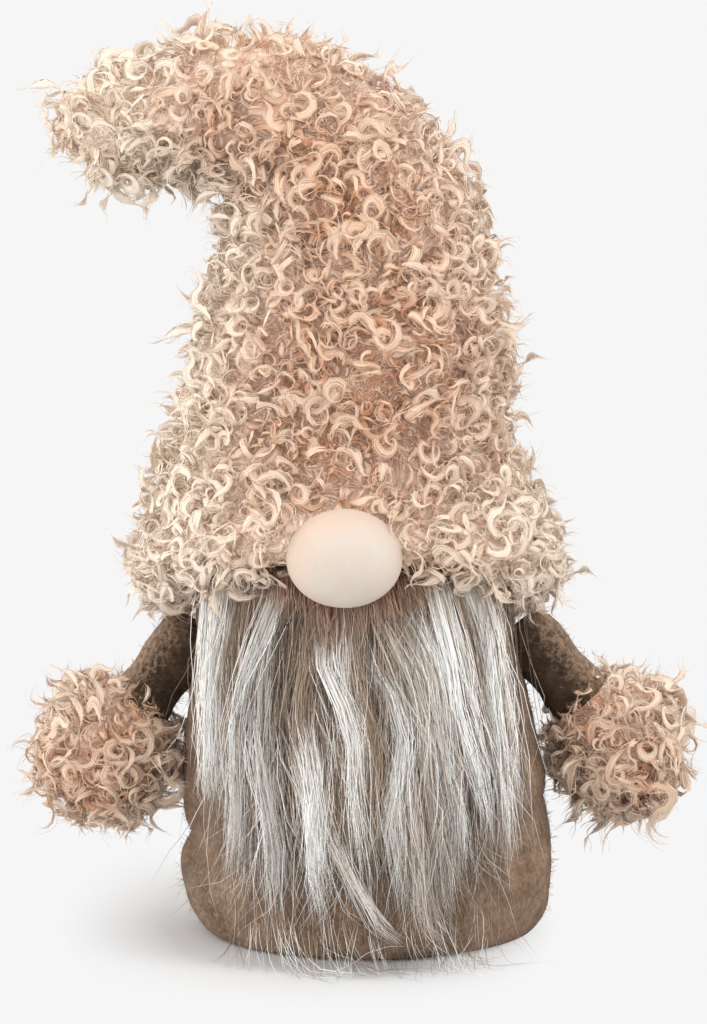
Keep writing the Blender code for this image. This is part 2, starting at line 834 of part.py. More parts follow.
def make_arm(name, side, tilt, cover, filling):
    centre = shoulder_place(side)
    pivot = joint_empty(name + "_shoulder_joint", centre)
    turn = side * (180.0 - tilt)
    facing = Matrix.Rotation(math.radians(turn), 3, "Y")

    def arm_solid(inset, length, face, wrist=WRIST_RADIUS):
        bm = lathe_mesh(solid_outline(arm_outline(inset, length, wrist)), ARM_SIDES)
        point = facing.inverted() @ Vector((face - centre.x, 0.0, 0.0))
        normal = facing.inverted() @ Vector((-side, 0.0, 0.0))
        return sliced(bm, point, normal)

    face = shoulder_face(side)
    sleeve = new_object(name + "_sleeve", arm_solid(0.0, SLEEVE_LENGTH, face), "brown_felt")
    hollow = arm_solid(FELT, SLEEVE_LENGTH + 6.0, face + side * FELT)
    hollow = new_object(name + "_sleeve_hollow", hollow, None)
    inset = FELT + SEAM_GAP
    stuffing = new_object(
        name + "_sleeve_filling", arm_solid(inset, SLEEVE_LENGTH, face + side * inset), "fibre_filling"
    )

    outer = [(radius, along) for along, radius in MITTEN_OUTLINE]
    inner = offset_outline(outer, -MITTEN_WALL)
    bore = WRIST_RADIUS + 0.6 + SEAM_GAP
    hand_start = SLEEVE_LENGTH + SEAM_GAP
    hand = [(radius, along) for radius, along in inner if along > hand_start + 4.0]
    throat = [(bore, MITTEN_START), (bore, hand_start)]
    lumps = [0.0] + [0.6 * TUFT] * (len(outer) - 2)
    shell = outer + list(reversed(throat + hand))
    mitten = lathe(name + "_mitten", shell, ARM_SIDES + 4, "curly_fur", tufts=lumps)
    wad = [(bore - SEAM_GAP, hand_start)]
    wad += [(max(radius - SEAM_GAP, 0.0), along) for radius, along in hand[:-1]]
    wad.append((0.0, hand[-1][1] - SEAM_GAP))
    wad = lathe(name + "_mitten_filling", solid_outline(wad), ARM_SIDES + 4, "fibre_filling")

    for piece in (sleeve, hollow, stuffing, mitten, wad):
        place(piece, centre, turn_y=turn, parent=pivot)
    helper(hollow)

    wall = side_wall(side, SHOULDER_HEIGHT)
    length = abs(face - wall) + 2.0 * THREAD_BITE
    start = Vector((wall - side * THREAD_BITE, 0.0, SHOULDER_HEIGHT))
    thread = lathe(name + "_shoulder_thread", thread_outline(length), 12, "thread")
    thread_room = helper(lathe(name + "_thread_room", thread_outline(length, SEAM_GAP), 12, None))
    for piece in (thread, thread_room):
        place(piece, start, turn_y=90.0 * side)
    cut(sleeve, hollow, thread_room)
    cut(stuffing, thread_room)
    cut(cover, thread_room)
    cut(filling, thread_room)


def make_nose_thread(cover, filling, nose_filling):
    """The stitch that holds the nose to the head."""
    centre = nose_centre()
    length = NOSE_BACK_DEPTH + THREAD_BITE
    start = Vector((centre.x, centre.y + length, centre.z))
    thread = lathe("nose_thread", thread_outline(length), 12, "thread")
    room = helper(lathe("nose_thread_room", thread_outline(length, SEAM_GAP), 12, None))
    for piece in (thread, room):
        place(piece, start, turn_x=90.0)
    for piece in (cover, filling, nose_filling):
        cut(piece, room)


def main():
    clear_scene()
    cover, filling = make_body()
    nose_filling, nose_room = make_nose()
    make_nose_thread(cover, filling, nose_filling)
    beard_front = body_front(BEARD_HINGE_HEIGHT)
    beard_pivot = joint_empty("beard_joint", (0.0, -beard_front, BEARD_HINGE_HEIGHT))
    make_beard(beard_pivot, nose_room)
    make_hat(nose_room)
    make_tip(joint_empty("hat_tip_joint", bend_centre()))
    make_arm("left", -1.0, LEFT_ARM_TILT, cover, filling)
    make_arm("right", 1.0, RIGHT_ARM_TILT, cover, filling)


main()
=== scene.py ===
"""A standing christmas elf of felt and curly fur cloth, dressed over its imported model.

Lengths are in millimetres unless a comment says metres. Meshes are made in metres, in the model's own frame.
"""

import json
import math
import random

import bmesh
import bpy
import numpy as np
from bpy.props import FloatProperty, FloatVectorProperty, IntProperty, PointerProperty
from mathutils import Matrix, Vector, noise

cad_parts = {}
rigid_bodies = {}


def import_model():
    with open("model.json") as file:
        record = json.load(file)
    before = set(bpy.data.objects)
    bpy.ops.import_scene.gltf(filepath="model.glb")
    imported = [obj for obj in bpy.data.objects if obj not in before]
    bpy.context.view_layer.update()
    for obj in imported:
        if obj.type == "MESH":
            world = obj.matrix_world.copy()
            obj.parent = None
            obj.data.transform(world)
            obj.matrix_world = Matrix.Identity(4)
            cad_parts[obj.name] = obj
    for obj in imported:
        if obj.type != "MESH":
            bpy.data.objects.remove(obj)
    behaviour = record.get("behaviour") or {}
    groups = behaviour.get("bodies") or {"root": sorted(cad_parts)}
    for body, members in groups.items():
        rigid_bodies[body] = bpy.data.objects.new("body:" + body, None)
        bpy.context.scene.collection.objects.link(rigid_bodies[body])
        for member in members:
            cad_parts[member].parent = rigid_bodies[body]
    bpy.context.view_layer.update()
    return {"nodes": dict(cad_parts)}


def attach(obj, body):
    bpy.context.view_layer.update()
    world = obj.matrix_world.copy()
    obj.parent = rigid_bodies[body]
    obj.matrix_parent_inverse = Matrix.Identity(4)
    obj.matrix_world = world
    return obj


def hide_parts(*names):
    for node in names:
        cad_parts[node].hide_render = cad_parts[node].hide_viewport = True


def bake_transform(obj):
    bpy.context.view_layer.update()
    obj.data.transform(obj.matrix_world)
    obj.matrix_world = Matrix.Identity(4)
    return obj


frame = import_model()

bl_info = {
    "name": "Christmas Elf Figurine",
    "version": (1, 0, 0),
    "blender": (4, 5, 0),
    "location": "3D Viewport > Sidebar > Figurine",
    "description": "Makes the fur, felt and beard of a standing christmas elf",
    "category": "Add Mesh",
}

MM = 0.001
# Depth of the body and of the hat's brim as a share of their width
DEPTH_SHARE = 0.88

# Half width and height of the felt body
BODY_OUTLINE = (
    (74, 0), (81, 3), (86.5, 14), (89.5, 34), (88.5, 60), (86.5, 89), (82, 113), (78, 138),
    (76, 160), (74.5, 185), (69.5, 208), (58, 230), (38, 246), (10, 252.5),
)
# How far the body leans sideways in the end, and the height where it does
HEAD_LEAN, LEAN_HEIGHT = -8, 190
BODY_TOP, BODY_SIDES, BODY_STEPS, WIDEST_HEIGHT = 253, 128, 5, 34
# How far the felt stands out, at what height and how widely: two on the left and one on the right
PINCH, BULGE, CREASE = (-4.2, 47, 6), (1.8, 27, 12), (-1.8, 66, 5)
# The felt's relief comes in up to the first height, and fades out over a length below the second
RELIEF_BOTTOM, RELIEF_TOP, RELIEF_FADE = 14, 250, 40
# The felt's nap: lowest and highest, and the cosine and lowest height of the part behind the beard
NAP_BOTTOM, NAP_TOP, BEHIND_BEARD, BEARD_BOTTOM = 7, 165, 0.62, 60

# Height, centre and half width of the hat's fur below its bend, from inside the brim upwards
BRIM_ROWS = (
    (186, -8.5, 86), (174, -9, 87), (166, -10.5, 91), (164, -11, 97), (171, -11.5, 103.5),
    (184, -10.5, 105.5), (206, -12.5, 97), (231, -14, 87), (255, -13, 81.5), (280, -10, 78),
    (304, -8.5, 73.5),
)
# Rows inside the brim, and the share of fur on them
INSIDE_ROWS, INSIDE_FUR = 2, 0.4
BRIM_HEIGHT, BRIM_FADE, BRIM_RISE, BRIM_WAVE = 158, 60, 19.5, 4.75
# How much shorter the fur is at the back
BACK_SHORTER = 0.22
# Inner end, outer end and half depth of the fur round the bend and along the tip
BEND_ROWS = (
    (-73, 330, 59, 330, 58), (-73, 345, 52, 360, 55), (-73, 352, 38, 380, 51), (-74, 355, 22, 401, 46),
    (-75, 356, 0, 418, 43), (-79, 357.5, -29, 434, 41), (-86, 358, -62, 437, 39), (-96, 357.5, -90, 430, 36),
    (-109, 358, -109, 425, 33), (-126, 362, -129, 419, 29), (-140, 370, -144, 413, 23),
)
TIP_POINT = (-151, 0, 394)
# How far the cloth lies inside the mean surface of its fur
CLOTH_INSET = 10.0
HAT_SIDES, HAT_ROW_STEPS = 96, 4
# Lumps of the cloth: height, size and seed
HAT_LUMPS, BODY_LUMPS = ((3.2, 21, 2.0), (1.5, 9, 5.0)), ((1.3, 34, 1.0), (0.7, 14, 3.0))
# Rings at which the hat's fur is divided into pieces
HAT_BAND_ROWS = (0, 16, 23, 28, 33, 38, 43, 50, 60, 72, 84)
# Ends of the stretch where the hat bends, in metres
BEND_START, BEND_END = (-0.055, 0, 0.385), (-0.100, 0, 0.397)

NOSE_CENTRE = (-12, -78.8, 193.5)
NOSE_HALF_WIDTH, NOSE_HALF_HEIGHT, NOSE_FRONT, NOSE_BACK = 26.5, 23, 22, 14
# In front of this depth, how far from the nose's middle fur starts, over what fade, and how much nearer above
HAT_FRONT, NOSE_CLEAR, NOSE_CLEAR_FADE, NOSE_CLEAR_RISE = -40, {"left": 29.5, "right": 27}, 3, 1.13
NOSE_ROWS, NOSE_SIDES, NOSE_SAG, NOSE_FULLNESS = 48, 72, 0.03, 0.94
# The first is the painted rosy shade of the nose's rim; the blotches and knit are the jersey's own
NOSE_PAINTED_RIM, NOSE_BLOTCH, NOSE_KNIT = (0.62, 0.44, 0.33), (0.60, 0.47, 0.38), (0.68, 0.61, 0.54)
# From the nose's middle to the middle of its unshaded part, round which its painted rosy shade begins
NOSE_UNSHADED_SHIFT = (4, 0, -3)

# Pivot and direction of each arm
ARMS = {
    "left": ((-90.2, 0, 140), (-0.574, 0, -0.819)),
    "right": ((79.4, 0, 140), (0.643, 0, -0.766)),
}
SLEEVE_RADIUS, SLEEVE_TOP, SLEEVE_END = 15, -12, 52
SLEEVE_SIDES, MITTEN_SIDES = 48, 36
SLEEVE_SHADE, SLEEVE_NAP_SHADE = 0.28, 0.5
# Distance along the arm and radius of the fur cloth of a mitten
MITTEN_ROWS = ((34, 13), (37, 17.5), (44, 22), (56, 26), (68, 26.5), (80, 22.5), (88, 13))
MITTEN_POLES = (33, 91)
MITTEN_SIZE = {"left": 1.05, "right": 0.92}

# How a lock grows: kind, width, and its bends, each a length, an axis and a turn in degrees
LOCKS = (
    ("ribbon", 6.4, ((6, (0, 1, 0), 15), (4, (0, 1, 0), 65), (31, (0.1, 0, 1), 340))),
    ("bundle", 3.2, ((5, (0, 1, 0), 10), (5, (0, 1, 0), 70), (34, (0, 0.15, 1), -370))),
    ("ribbon", 6.0, ((7, (0, 1, 0), 25), (3, (0, 1, 0), 55), (29, (0.1, 0.1, 1), 380))),
    ("ribbon", 6.0, ((7, (0, 1, 0), 80), (14, (0.2, 1, 0.6), -170), (17, (0.3, 1, 0.3), 160))),
    ("bundle", 2.8, ((4, (0, 1, 0), 15), (27, (0, 1, 0.2), 380))),
    ("ribbon", 6.8, ((8, (0, 1, 0), 30), (3, (0, 1, 0), 60), (20, (0.15, 0, 1), -190),
                     (20, (0, 0.25, 1), 170))),
    ("ribbon", 5.6, ((6, (1, 0, 0), 50), (32, (0.3, -0.4, 0.9), 350))),
    ("bundle", 2.5, ((8, (0, 1, 0), 50), (22, (0.1, 0.3, 1), 400))),
    ("ribbon", 6.2, ((5, (0, 1, 0), 10), (34, (0.25, 1, 0.5), 300))),
    ("ribbon", 5.4, ((7, (0, 1, 0), 60), (24, (0.15, 0.1, 1), -260))),
    ("wisps", 3.8, ((6, (0, 1, 0), 20), (4, (0, 1, 0), 50), (30, (0, 0.2, 1), 380))),
    ("stray", 1.0, ((8, (0, 1, 0), 30), (4, (0, 1, 0), 50), (26, (0, 0.3, 1), 400))),
)

# Strands in a lock of each kind, and degrees of bend between two points of a lock
LOCK_STRANDS = {"ribbon": 2, "bundle": 3, "wisps": 3, "stray": 1}
FINE_STEP, COARSE_STEP = 36, 44
# The lock whose band stands on edge
EDGEWISE_LOCK = 3
LOCK_SEED, BEARD_SEED = 4, 12
# The bends of the loose fibres on felt, and their radius
NAP_FIBRES = (
    ((1.6, (0, 1, 0), 70), (1.2, (0.4, 1, 0), -50)),
    ((1.4, (1, 0, 0), 60), (1.6, (0.4, 1, 0), 60)),
    ((2.2, (0, 1, 0.5), 80), (1.2, (1, 0, 0), 40)),
)
NAP_RADIUS = 0.085
# How each kind of fur grows, with its spacing in metres
HAT_FUR = {"Smallest": 0.62, "Largest": 1.1, "Thinnest": 0.3, "Softness": 2.5}
MITTEN_FUR = {
    "Smallest": 0.8, "Largest": 1.2, "Droop": 0.15, "Scatter": 0.7, "Thinnest": 0.4, "Softness": 2.5,
}
FELT_NAP = {
    "Spacing": 0.0015, "Smallest": 0.7, "Largest": 1.5, "Droop": 0.3, "Scatter": 1.0, "Thinnest": 1.0,
    "Softness": 0.0,
}

# The pale colour is also what painted light turns the roots, middles and ground to
FUR_PALE, FUR_ROSY, FUR_DARK = (0.97, 0.815, 0.675), (0.84, 0.55, 0.40), (0.52, 0.27, 0.165)
# Shaded copy of the tips' colour, for fur without painted light
SHADED_FUR_TIP = (0.78, 0.56, 0.41)
SHORT_FUR_DARK, SHORT_FUR, SHORT_FUR_TIP = (0.17, 0.085, 0.055), (0.47, 0.26, 0.17), (0.62, 0.45, 0.34)
# Share of the light that pale fibres let through
LIGHT_THROUGH = 0.9
# Added to the UV of bands of fibres, which are streaked with gaps
BAND_UV = 2.0
# Two inputs and the output of the random value node for each kind of value
RANDOM_SOCKETS = {"FLOAT_VECTOR": (0, 1, 0), "FLOAT": (2, 3, 1), "INT": (4, 5, 2)}
# Depth below the matted fur at which locks start, and height above it at which they are palest
ROOT_DEPTH = 4
FUR_HEIGHT = 8

TONES = {"dark": 0.0, "brown": 0.2, "tan": 0.42, "grey": 0.7, "white": 1.0}
# The beard's locks as they hang: tone, half width, and places across and up its front
BEARD_LOCKS = (
    ("white", 8, ((-69, 184), (-72, 166), (-75, 129), (-74, 104), (-72, 84), (-71, 70))),
    ("white", 5, ((-64, 184), (-66, 160), (-69, 134), (-70, 106), (-67, 82), (-65, 62))),
    ("tan", 6, ((-58, 184), (-62, 157), (-64, 129), (-64, 106), (-62, 78))),
    ("tan", 5, ((-50, 184), (-57, 157), (-60, 134), (-59, 111), (-57, 84))),
    ("white", 5, ((-40, 189), (-43, 173), (-52, 150), (-59, 129), (-62, 108), (-62, 83), (-61, 60), (-61, 43),
                  (-63, 22))),
    ("dark", 8, ((-36, 184), (-38, 157), (-40, 134), (-38, 111), (-33, 86))),
    ("dark", 6, ((-32, 182), (-31, 157), (-31, 134), (-30, 112))),
    ("grey", 5, ((-39, 182), (-45, 148), (-49, 125), (-50, 101), (-47, 74), (-43, 50), (-40, 20))),
    ("white", 6, ((-48, 146), (-52, 111), (-49, 88), (-45, 60), (-42, 37), (-40, 14))),
    ("tan", 7, ((-32, 180), (-27, 152), (-29, 129), (-32, 106), (-32, 80))),
    ("white", 8, ((-34, 134), (-31, 106), (-27, 83), (-26, 60), (-24, 41), (-20, 24))),
    ("white", 6, ((-20, 178), (-18, 152), (-17, 136), (-9, 120), (-7, 103), (-6, 83), (-2, 60), (1, 33))),
    ("white", 4, ((-25, 100), (-20, 66), (-12, 50), (-1, 32), (9, 20), (19, 12))),
    ("tan", 6, ((-12, 175), (-8, 152), (-5, 129), (1, 106), (3, 83), (8, 50))),
    ("white", 6, ((-9, 168), (-1, 149), (9, 134), (16, 114), (14, 93), (11, 71), (17, 48), (21, 28))),
    ("dark", 6, ((1, 178), (6, 157), (14, 134), (23, 111), (26, 84))),
    ("grey", 6, ((-1, 175), (12, 157), (22, 129), (25, 106), (27, 83), (32, 55), (35, 28))),
    ("white", 7, ((12, 178), (25, 154), (32, 130), (36, 103), (42, 74), (42, 55), (45, 30))),
    ("tan", 6, ((18, 180), (31, 152), (38, 129), (41, 101), (39, 74), (35, 46), (28, 16))),
    ("white", 5, ((29, 186), (36, 160), (42, 141), (45, 114), (50, 85), (52, 58))),
    ("tan", 4, ((36, 186), (44, 160), (49, 134), (52, 106), (55, 80))),
    ("white", 8, ((43, 186), (52, 163), (57, 141), (61, 114), (63, 85), (65, 50))),
    ("grey", 4, ((50, 184), (60, 157), (64, 129), (67, 101), (68, 70))),
    ("grey", 5, ((32, 101), (30, 74), (27, 46), (30, 23), (46, 8))),
    ("grey", 5, ((14, 101), (17, 74), (21, 46), (25, 23), (35, 8))),
    ("tan", 5, ((-19, 129), (-16, 101), (-11, 74), (-8, 46), (-9, 20))),
)
# Ends of the stretch where the beard bends, in metres
BEARD_HINGE_START, BEARD_HINGE_END = (0, -0.0666, 0.178), (0, -0.0666, 0.158)
BEARD_TOP, SHORT_FUR_TOP = 186, 178
# Locks that start below this height are carried up under the others, this much and no higher than this
LOW_START, LOW_RISE, LOW_TOP = 172, 32, 182
# How far off the body the beard's locks lie at their roots, and how far its under fur does
LOCK_ROOT, UNDER_ROOT = 4.5, 2.5
CORE_SIDES = 10
# Layers of fur under the locks: distance off the body, and tones
UNDER_LAYERS = (
    (3.5, ("dark", "brown", "dark")), (6, ("tan", "brown", "dark")), (8.5, ("tan", "tan", "brown")),
)
# Guide lines in a layer, across the locks, at the hem, over the floor, and under the nose
UNDER_COUNT, LOOSE_COUNT, HEM_COUNT, FLOOR_COUNT, SHORT_COUNT = 30, 150, 180, 56, 34
# The strip that the beard grows from: points across and up, thickness, heights, half its angle, and
# the height above which it is sewn on
BACKING_COLUMNS, BACKING_ROWS, BACKING_THICKNESS = 41, 38, 1.4
BACKING_BOTTOM, BACKING_TOP, BACKING_ANGLE, HEADING_HEIGHT = 88, 192, 56, 162
BACKING_PALE, BACKING_BROWN, BACKING_DARK = (0.24, 0.17, 0.12), (0.13, 0.085, 0.055), (0.05, 0.03, 0.02)
# How low and how far to the front a strand may reach, in metres
STRAND_LOW, STRAND_FRONT = 0.0004, -0.1155

# The lamps: the setting with each one's power, and its width and place in metres
LAMPS = (
    ("key_lamp", "key_power", 2.8, (-1.8, -1.3, 0.8)),
    ("left_lamp", "left_power", 1.2, (-2.0, 0.3, 0.7)),
    ("side_lamp", "side_power", 0.6, (1.2, -0.55, 1.5)),
    ("top_lamp", "top_power", 0.9, (-0.5, 0.3, 1.9)),
)
LAMP_AIM = (0, 0, 0.2)
FLOOR_RADIUS, FLOOR_SIDES, FLOOR_GREY = 3000, 64, 0.665
# Distances from the figurine between which the floor fades into the background, in metres
FLOOR_FADE, FLOOR_MIDDLE = (0.070, 0.122), (-0.03, 0.03, 0)
# The camera: what it looks at and how far off in metres, degrees above level, and lens and sensor sizes
CAMERA_AIM, CAMERA_DISTANCE, CAMERA_RISE = (-0.0078, 0, 0.204), 2.0, 8
CAMERA_LENS, CAMERA_SENSOR = 97.6, 24


# Sizes and colours that a user would change


class CurlSettings(bpy.types.PropertyGroup):
    """Curly fur cloth of the hat and mittens."""

    hat_density: FloatProperty(
        name="Hat locks", description="Locks on each square metre of the hat", default=116000, min=0)
    mitten_density: FloatProperty(
        name="Mitten locks", description="Locks on each square metre of a mitten", default=112000, min=0)
    spacing: FloatProperty(
        name="Lock spacing", description="Least distance between two locks", default=0.0019, unit="LENGTH")
    droop: FloatProperty(
        name="Droop", description="How far the locks hang down", default=0.35, min=0, max=1, subtype="FACTOR")
    scatter: FloatProperty(
        name="Scatter", description="How unevenly the locks stand", default=0.9, min=0, max=2)
    # Painted light: the tips take this colour where the pale share is full and a shaded copy where it is
    # empty, and the roots and middles turn pale where it is full
    tip_colour: FloatVectorProperty(
        name="Tips", description="Colour of the ends", default=(0.90, 0.775, 0.65), subtype="COLOR")
    middle_colour: FloatVectorProperty(
        name="Middles", description="Colour half way", default=(0.88, 0.575, 0.40), subtype="COLOR")
    root_colour: FloatVectorProperty(
        name="Roots", description="Colour at the cloth", default=(0.63, 0.32, 0.18), subtype="COLOR")


class ClothSettings(bpy.types.PropertyGroup):
    """Felt of the body and sleeves, and jersey of the nose."""

    felt_colour: FloatVectorProperty(
        name="Felt", description="Main colour of the felt", default=(0.195, 0.124, 0.078), subtype="COLOR")
    fleck_colour: FloatVectorProperty(
        name="Flecks", description="Pale fibres in the felt", default=(0.39, 0.262, 0.178), subtype="COLOR")
    shade_colour: FloatVectorProperty(
        name="Shade", description="Dark fibres in the felt", default=(0.075, 0.045, 0.028), subtype="COLOR")
    nose_colour: FloatVectorProperty(
        name="Nose", description="Colour of the jersey", default=(0.63, 0.565, 0.495), subtype="COLOR")
    nap_density: FloatProperty(
        name="Nap", description="Loose fibres on each square metre of felt", default=70000, min=0)


class BeardSettings(bpy.types.PropertyGroup):
    """Long straight fur of the beard."""

    strands: IntProperty(
        name="Strands", description="Strands in a lock a millimetre wide", default=29, min=1)
    thickness: FloatProperty(
        name="Thickness", description="Half thickness of a strand", default=0.00017, unit="LENGTH")
    points: IntProperty(name="Points", description="Points along a strand", default=9, min=3)
    white_colour: FloatVectorProperty(
        name="White", description="Palest locks", default=(1.0, 0.995, 0.965), subtype="COLOR")
    tan_colour: FloatVectorProperty(
        name="Tan", description="Tan locks", default=(0.53, 0.385, 0.27), subtype="COLOR")
    dark_colour: FloatVectorProperty(
        name="Dark", description="Dark locks", default=(0.135, 0.096, 0.07), subtype="COLOR")


class StageSettings(bpy.types.PropertyGroup):
    """Floor, lamps and camera."""

    floor_colour: FloatVectorProperty(
        name="Floor", description="Colour of the floor", default=(0.922, 0.922, 0.922), subtype="COLOR")
    key_power: FloatProperty(
        name="Key", description="Power of the main lamp", default=22, unit="POWER")
    left_power: FloatProperty(
        name="Left", description="Power of the lamp on the left", default=10, unit="POWER")
    side_power: FloatProperty(
        name="Right", description="Power of the lamp on the right", default=10, unit="POWER")
    top_power: FloatProperty(
        name="Top", description="Power of the lamp above", default=2.0, unit="POWER")
    ambient: FloatProperty(
        name="Ambient", description="Strength of the light from all round", default=1.2, min=0)


# Curves and surfaces


def ease(share):
    """Rises smoothly from 0 to 1, for a number or for an array of them."""
    share = np.clip(share, 0.0, 1.0)
    risen = share * share * (3 - 2 * share)
    return risen if np.ndim(risen) else float(risen)


def through(rows, steps):
    """Rows of numbers on smooth curves through the given rows, with this many steps between two."""
    rows = np.array(rows, float)
    padded = np.vstack([2 * rows[0] - rows[1], rows, 2 * rows[-1] - rows[-2]])
    made = []
    for i in range(1, len(rows)):
        a, b, c, d = padded[i - 1 : i + 3]
        for k in range(steps):
            t = k / steps
            made.append(0.5 * (
                2 * b + (c - a) * t + (2 * a - 5 * b + 4 * c - d) * t**2 + (3 * b - a - 3 * c + d) * t**3))
    made.append(rows[-1])
    return np.array(made)


def body_width(height):
    """Half width of the felt body at a height."""
    widths, heights = zip(*BODY_OUTLINE)
    return float(np.interp(height, heights, widths))


def hang_width(height):
    """Half width that what hangs outside the body keeps below its widest place."""
    return max(w for w, _ in BODY_OUTLINE) if height < WIDEST_HEIGHT else body_width(height)


def lean(height):
    """How far the body's centre leans sideways at a height."""
    return HEAD_LEAN * ease(height / LEAN_HEIGHT)


def placed(name, data):
    """A new object in the scene."""
    made = bpy.data.objects.new(name, data)
    bpy.context.scene.collection.objects.link(made)
    return made


def new_mesh(name, points, edges, faces, values=None):
    """A mesh from points in millimetres, with a number for each point under each label."""
    mesh = bpy.data.meshes.new(name)
    mesh.from_pydata([tuple(p) for p in np.array(points, float) * MM], edges, faces)
    for label, numbers in (values or {}).items():
        mesh.attributes.new(label, "FLOAT", "POINT").data.foreach_set("value", np.array(numbers, np.float32))
    return mesh


def add_object(name, points, faces, uv=None, values=None):
    """A smooth mesh object from points in millimetres, with a UV pair for each corner."""
    mesh = new_mesh(name, points, [], faces, values)
    if uv is not None:
        mesh.uv_layers.new(name="UVMap").data.foreach_set("uv", np.array(uv, np.float32).ravel())
    mesh.shade_smooth()
    return placed(name, mesh)


def finished_mesh(thing):
    """The mesh that an object's modifiers make."""
    graph = bpy.context.evaluated_depsgraph_get()
    return bpy.data.meshes.new_from_object(
        thing.evaluated_get(graph), preserve_all_data_layers=True, depsgraph=graph)


def tube_faces(first, across, along):
    """Faces between rings of points, and a UV pair for each corner from places across and along."""
    rows, sides = len(along), len(across) - 1
    faces, uv = [], []
    for i in range(rows - 1):
        low, high = first + i * sides, first + (i + 1) * sides
        for j in range(sides):
            k = (j + 1) % sides
            faces.append((low + j, low + k, high + k, high + j))
            uv += [(across[j], along[i]), (across[j + 1], along[i]),
                   (across[j + 1], along[i + 1]), (across[j], along[i + 1])]
    return faces, uv


def shares(steps):
    """Even shares from 0 to 1, one at each end of this many steps."""
    return [i / steps for i in range(steps + 1)]


def loft(name, rings, start=None, end=None, values=None):
    """A skin over rings of points, closed with a pole at each end that is given."""
    rings = np.array(rings, float)
    rows, sides = rings.shape[:2]
    points = [tuple(p) for p in rings.reshape(-1, 3)]
    faces, uv = tube_faces(0, shares(sides), shares(rows - 1))
    numbers = {label: list(np.array(row, float).ravel()) for label, row in (values or {}).items()}
    for pole, row, v in ((start, 0, 0.0), (end, rows - 1, 1.0)):
        if pole is None:
            continue
        points.append(tuple(pole))
        for label in numbers:
            numbers[label].append(numbers[label][row * sides])
        for j in range(sides):
            a, b = row * sides + j, row * sides + (j + 1) % sides
            faces.append((b, a, len(points) - 1) if row == 0 else (a, b, len(points) - 1))
            uv += [((j + 0.5) / sides, v)] * 3
    return add_object(name, points, faces, uv, numbers)


def outwards(made):
    """Turns the faces of a closed mesh to the outside."""
    work = bmesh.new()
    work.from_mesh(made.data)
    bmesh.ops.recalc_face_normals(work, faces=work.faces)
    work.to_mesh(made.data)
    work.free()
    return made


def wavy(place, size, seed):
    """Smooth random number from -1 to 1 at a place in millimetres."""
    return noise.noise(Vector((place[0], place[1], place[2])) / size + Vector((seed, seed, seed)))


def lumpy(place, lumps, total=0.0):
    """Random lumps added up at a place, each with a height, a size and a seed."""
    for height, size, seed in lumps:
        total += height * wavy(place, size, seed)
    return total


# Node trees


def add_node(tree, kind, links=None, **settings):
    """A node with its settings, and with values or sockets on its inputs by name or number."""
    node = tree.nodes.new(kind)
    for label, value in settings.items():
        setattr(node, label, value)
    for label, value in (links or {}).items():
        socket = node.inputs[label]
        if isinstance(value, bpy.types.NodeSocket):
            tree.links.new(value, socket)
        else:
            socket.default_value = value
    return node


def calculate(tree, operation, *values):
    """The result of a number operation."""
    return add_node(tree, "ShaderNodeMath", dict(enumerate(values)), operation=operation).outputs[0]


def times(tree, first, second):
    """Two numbers multiplied."""
    return calculate(tree, "MULTIPLY", first, second)


def plus(tree, first, second):
    """Two numbers added."""
    return calculate(tree, "ADD", first, second)


def minus(tree, first, second):
    """One number less another."""
    return calculate(tree, "SUBTRACT", first, second)


def combine(tree, operation, *values):
    """The result of a vector operation."""
    node = add_node(tree, "ShaderNodeVectorMath", dict(enumerate(values)), operation=operation)
    return node.outputs["Value" if operation in ("LENGTH", "DOT_PRODUCT") else "Vector"]


def scaled(tree, vector, share):
    """A vector times a number."""
    node = add_node(tree, "ShaderNodeVectorMath", {"Vector": vector, "Scale": share}, operation="SCALE")
    return node.outputs["Vector"]


def named(tree, label):
    """A number stored on the geometry."""
    return add_node(tree, "GeometryNodeInputNamedAttribute", {"Name": label}, data_type="FLOAT").outputs[0]


def with_number(tree, geometry, label, value, domain="POINT"):
    """Geometry with a number stored on it."""
    return add_node(tree, "GeometryNodeStoreNamedAttribute", {
        "Geometry": geometry, "Name": label, "Value": value}, data_type="FLOAT", domain=domain).outputs[0]


def position(tree):
    """The place of each point."""
    return add_node(tree, "GeometryNodeInputPosition").outputs[0]


def random_value(tree, kind, low, high, seed, **more):
    """A random number, whole number or vector for each thing, from its own seed."""
    first, second, result = RANDOM_SOCKETS[kind]
    return add_node(tree, "FunctionNodeRandomValue", {
        first: low, second: high, "Seed": seed, **more}, data_type=kind).outputs[result]


def coloured(tree, shader, colour):
    """Gives a shader its colour."""
    tree.links.new(colour, shader.inputs["Base Color"])


def geometry_tree(name, inputs):
    """An empty geometry tree with its named inputs, and its input and output nodes."""
    tree = bpy.data.node_groups.new(name, "GeometryNodeTree")
    tree.interface.new_socket("Geometry", in_out="OUTPUT", socket_type="NodeSocketGeometry")
    for label, kind in (("Geometry", "NodeSocketGeometry"), *inputs):
        tree.interface.new_socket(label, in_out="INPUT", socket_type=kind)
    return tree, tree.nodes.new("NodeGroupInput").outputs, tree.nodes.new("NodeGroupOutput").inputs


def grown(base, tree, name, values):
    """A plain mesh object of what a tree makes on a base object, which is then removed."""
    modifier = base.modifiers.new(name, "NODES")
    modifier.node_group = tree
    for socket in tree.interface.items_tree:
        if socket.in_out == "INPUT" and socket.name in values:
            modifier[socket.identifier] = values[socket.name]
    mesh = finished_mesh(base)
    mesh.name = name
    bpy.data.objects.remove(base)
    return placed(name, mesh)


def planted(base, tree, name, locks, density, seed, material, numbers):
    """Fur on a cloth, with one of the locks at each of many points."""
    return grown(base, tree, name, {
        "Locks": locks, "Kinds": len(locks.objects), "Density": density, "Seed": seed, "Material": material,
        **numbers})


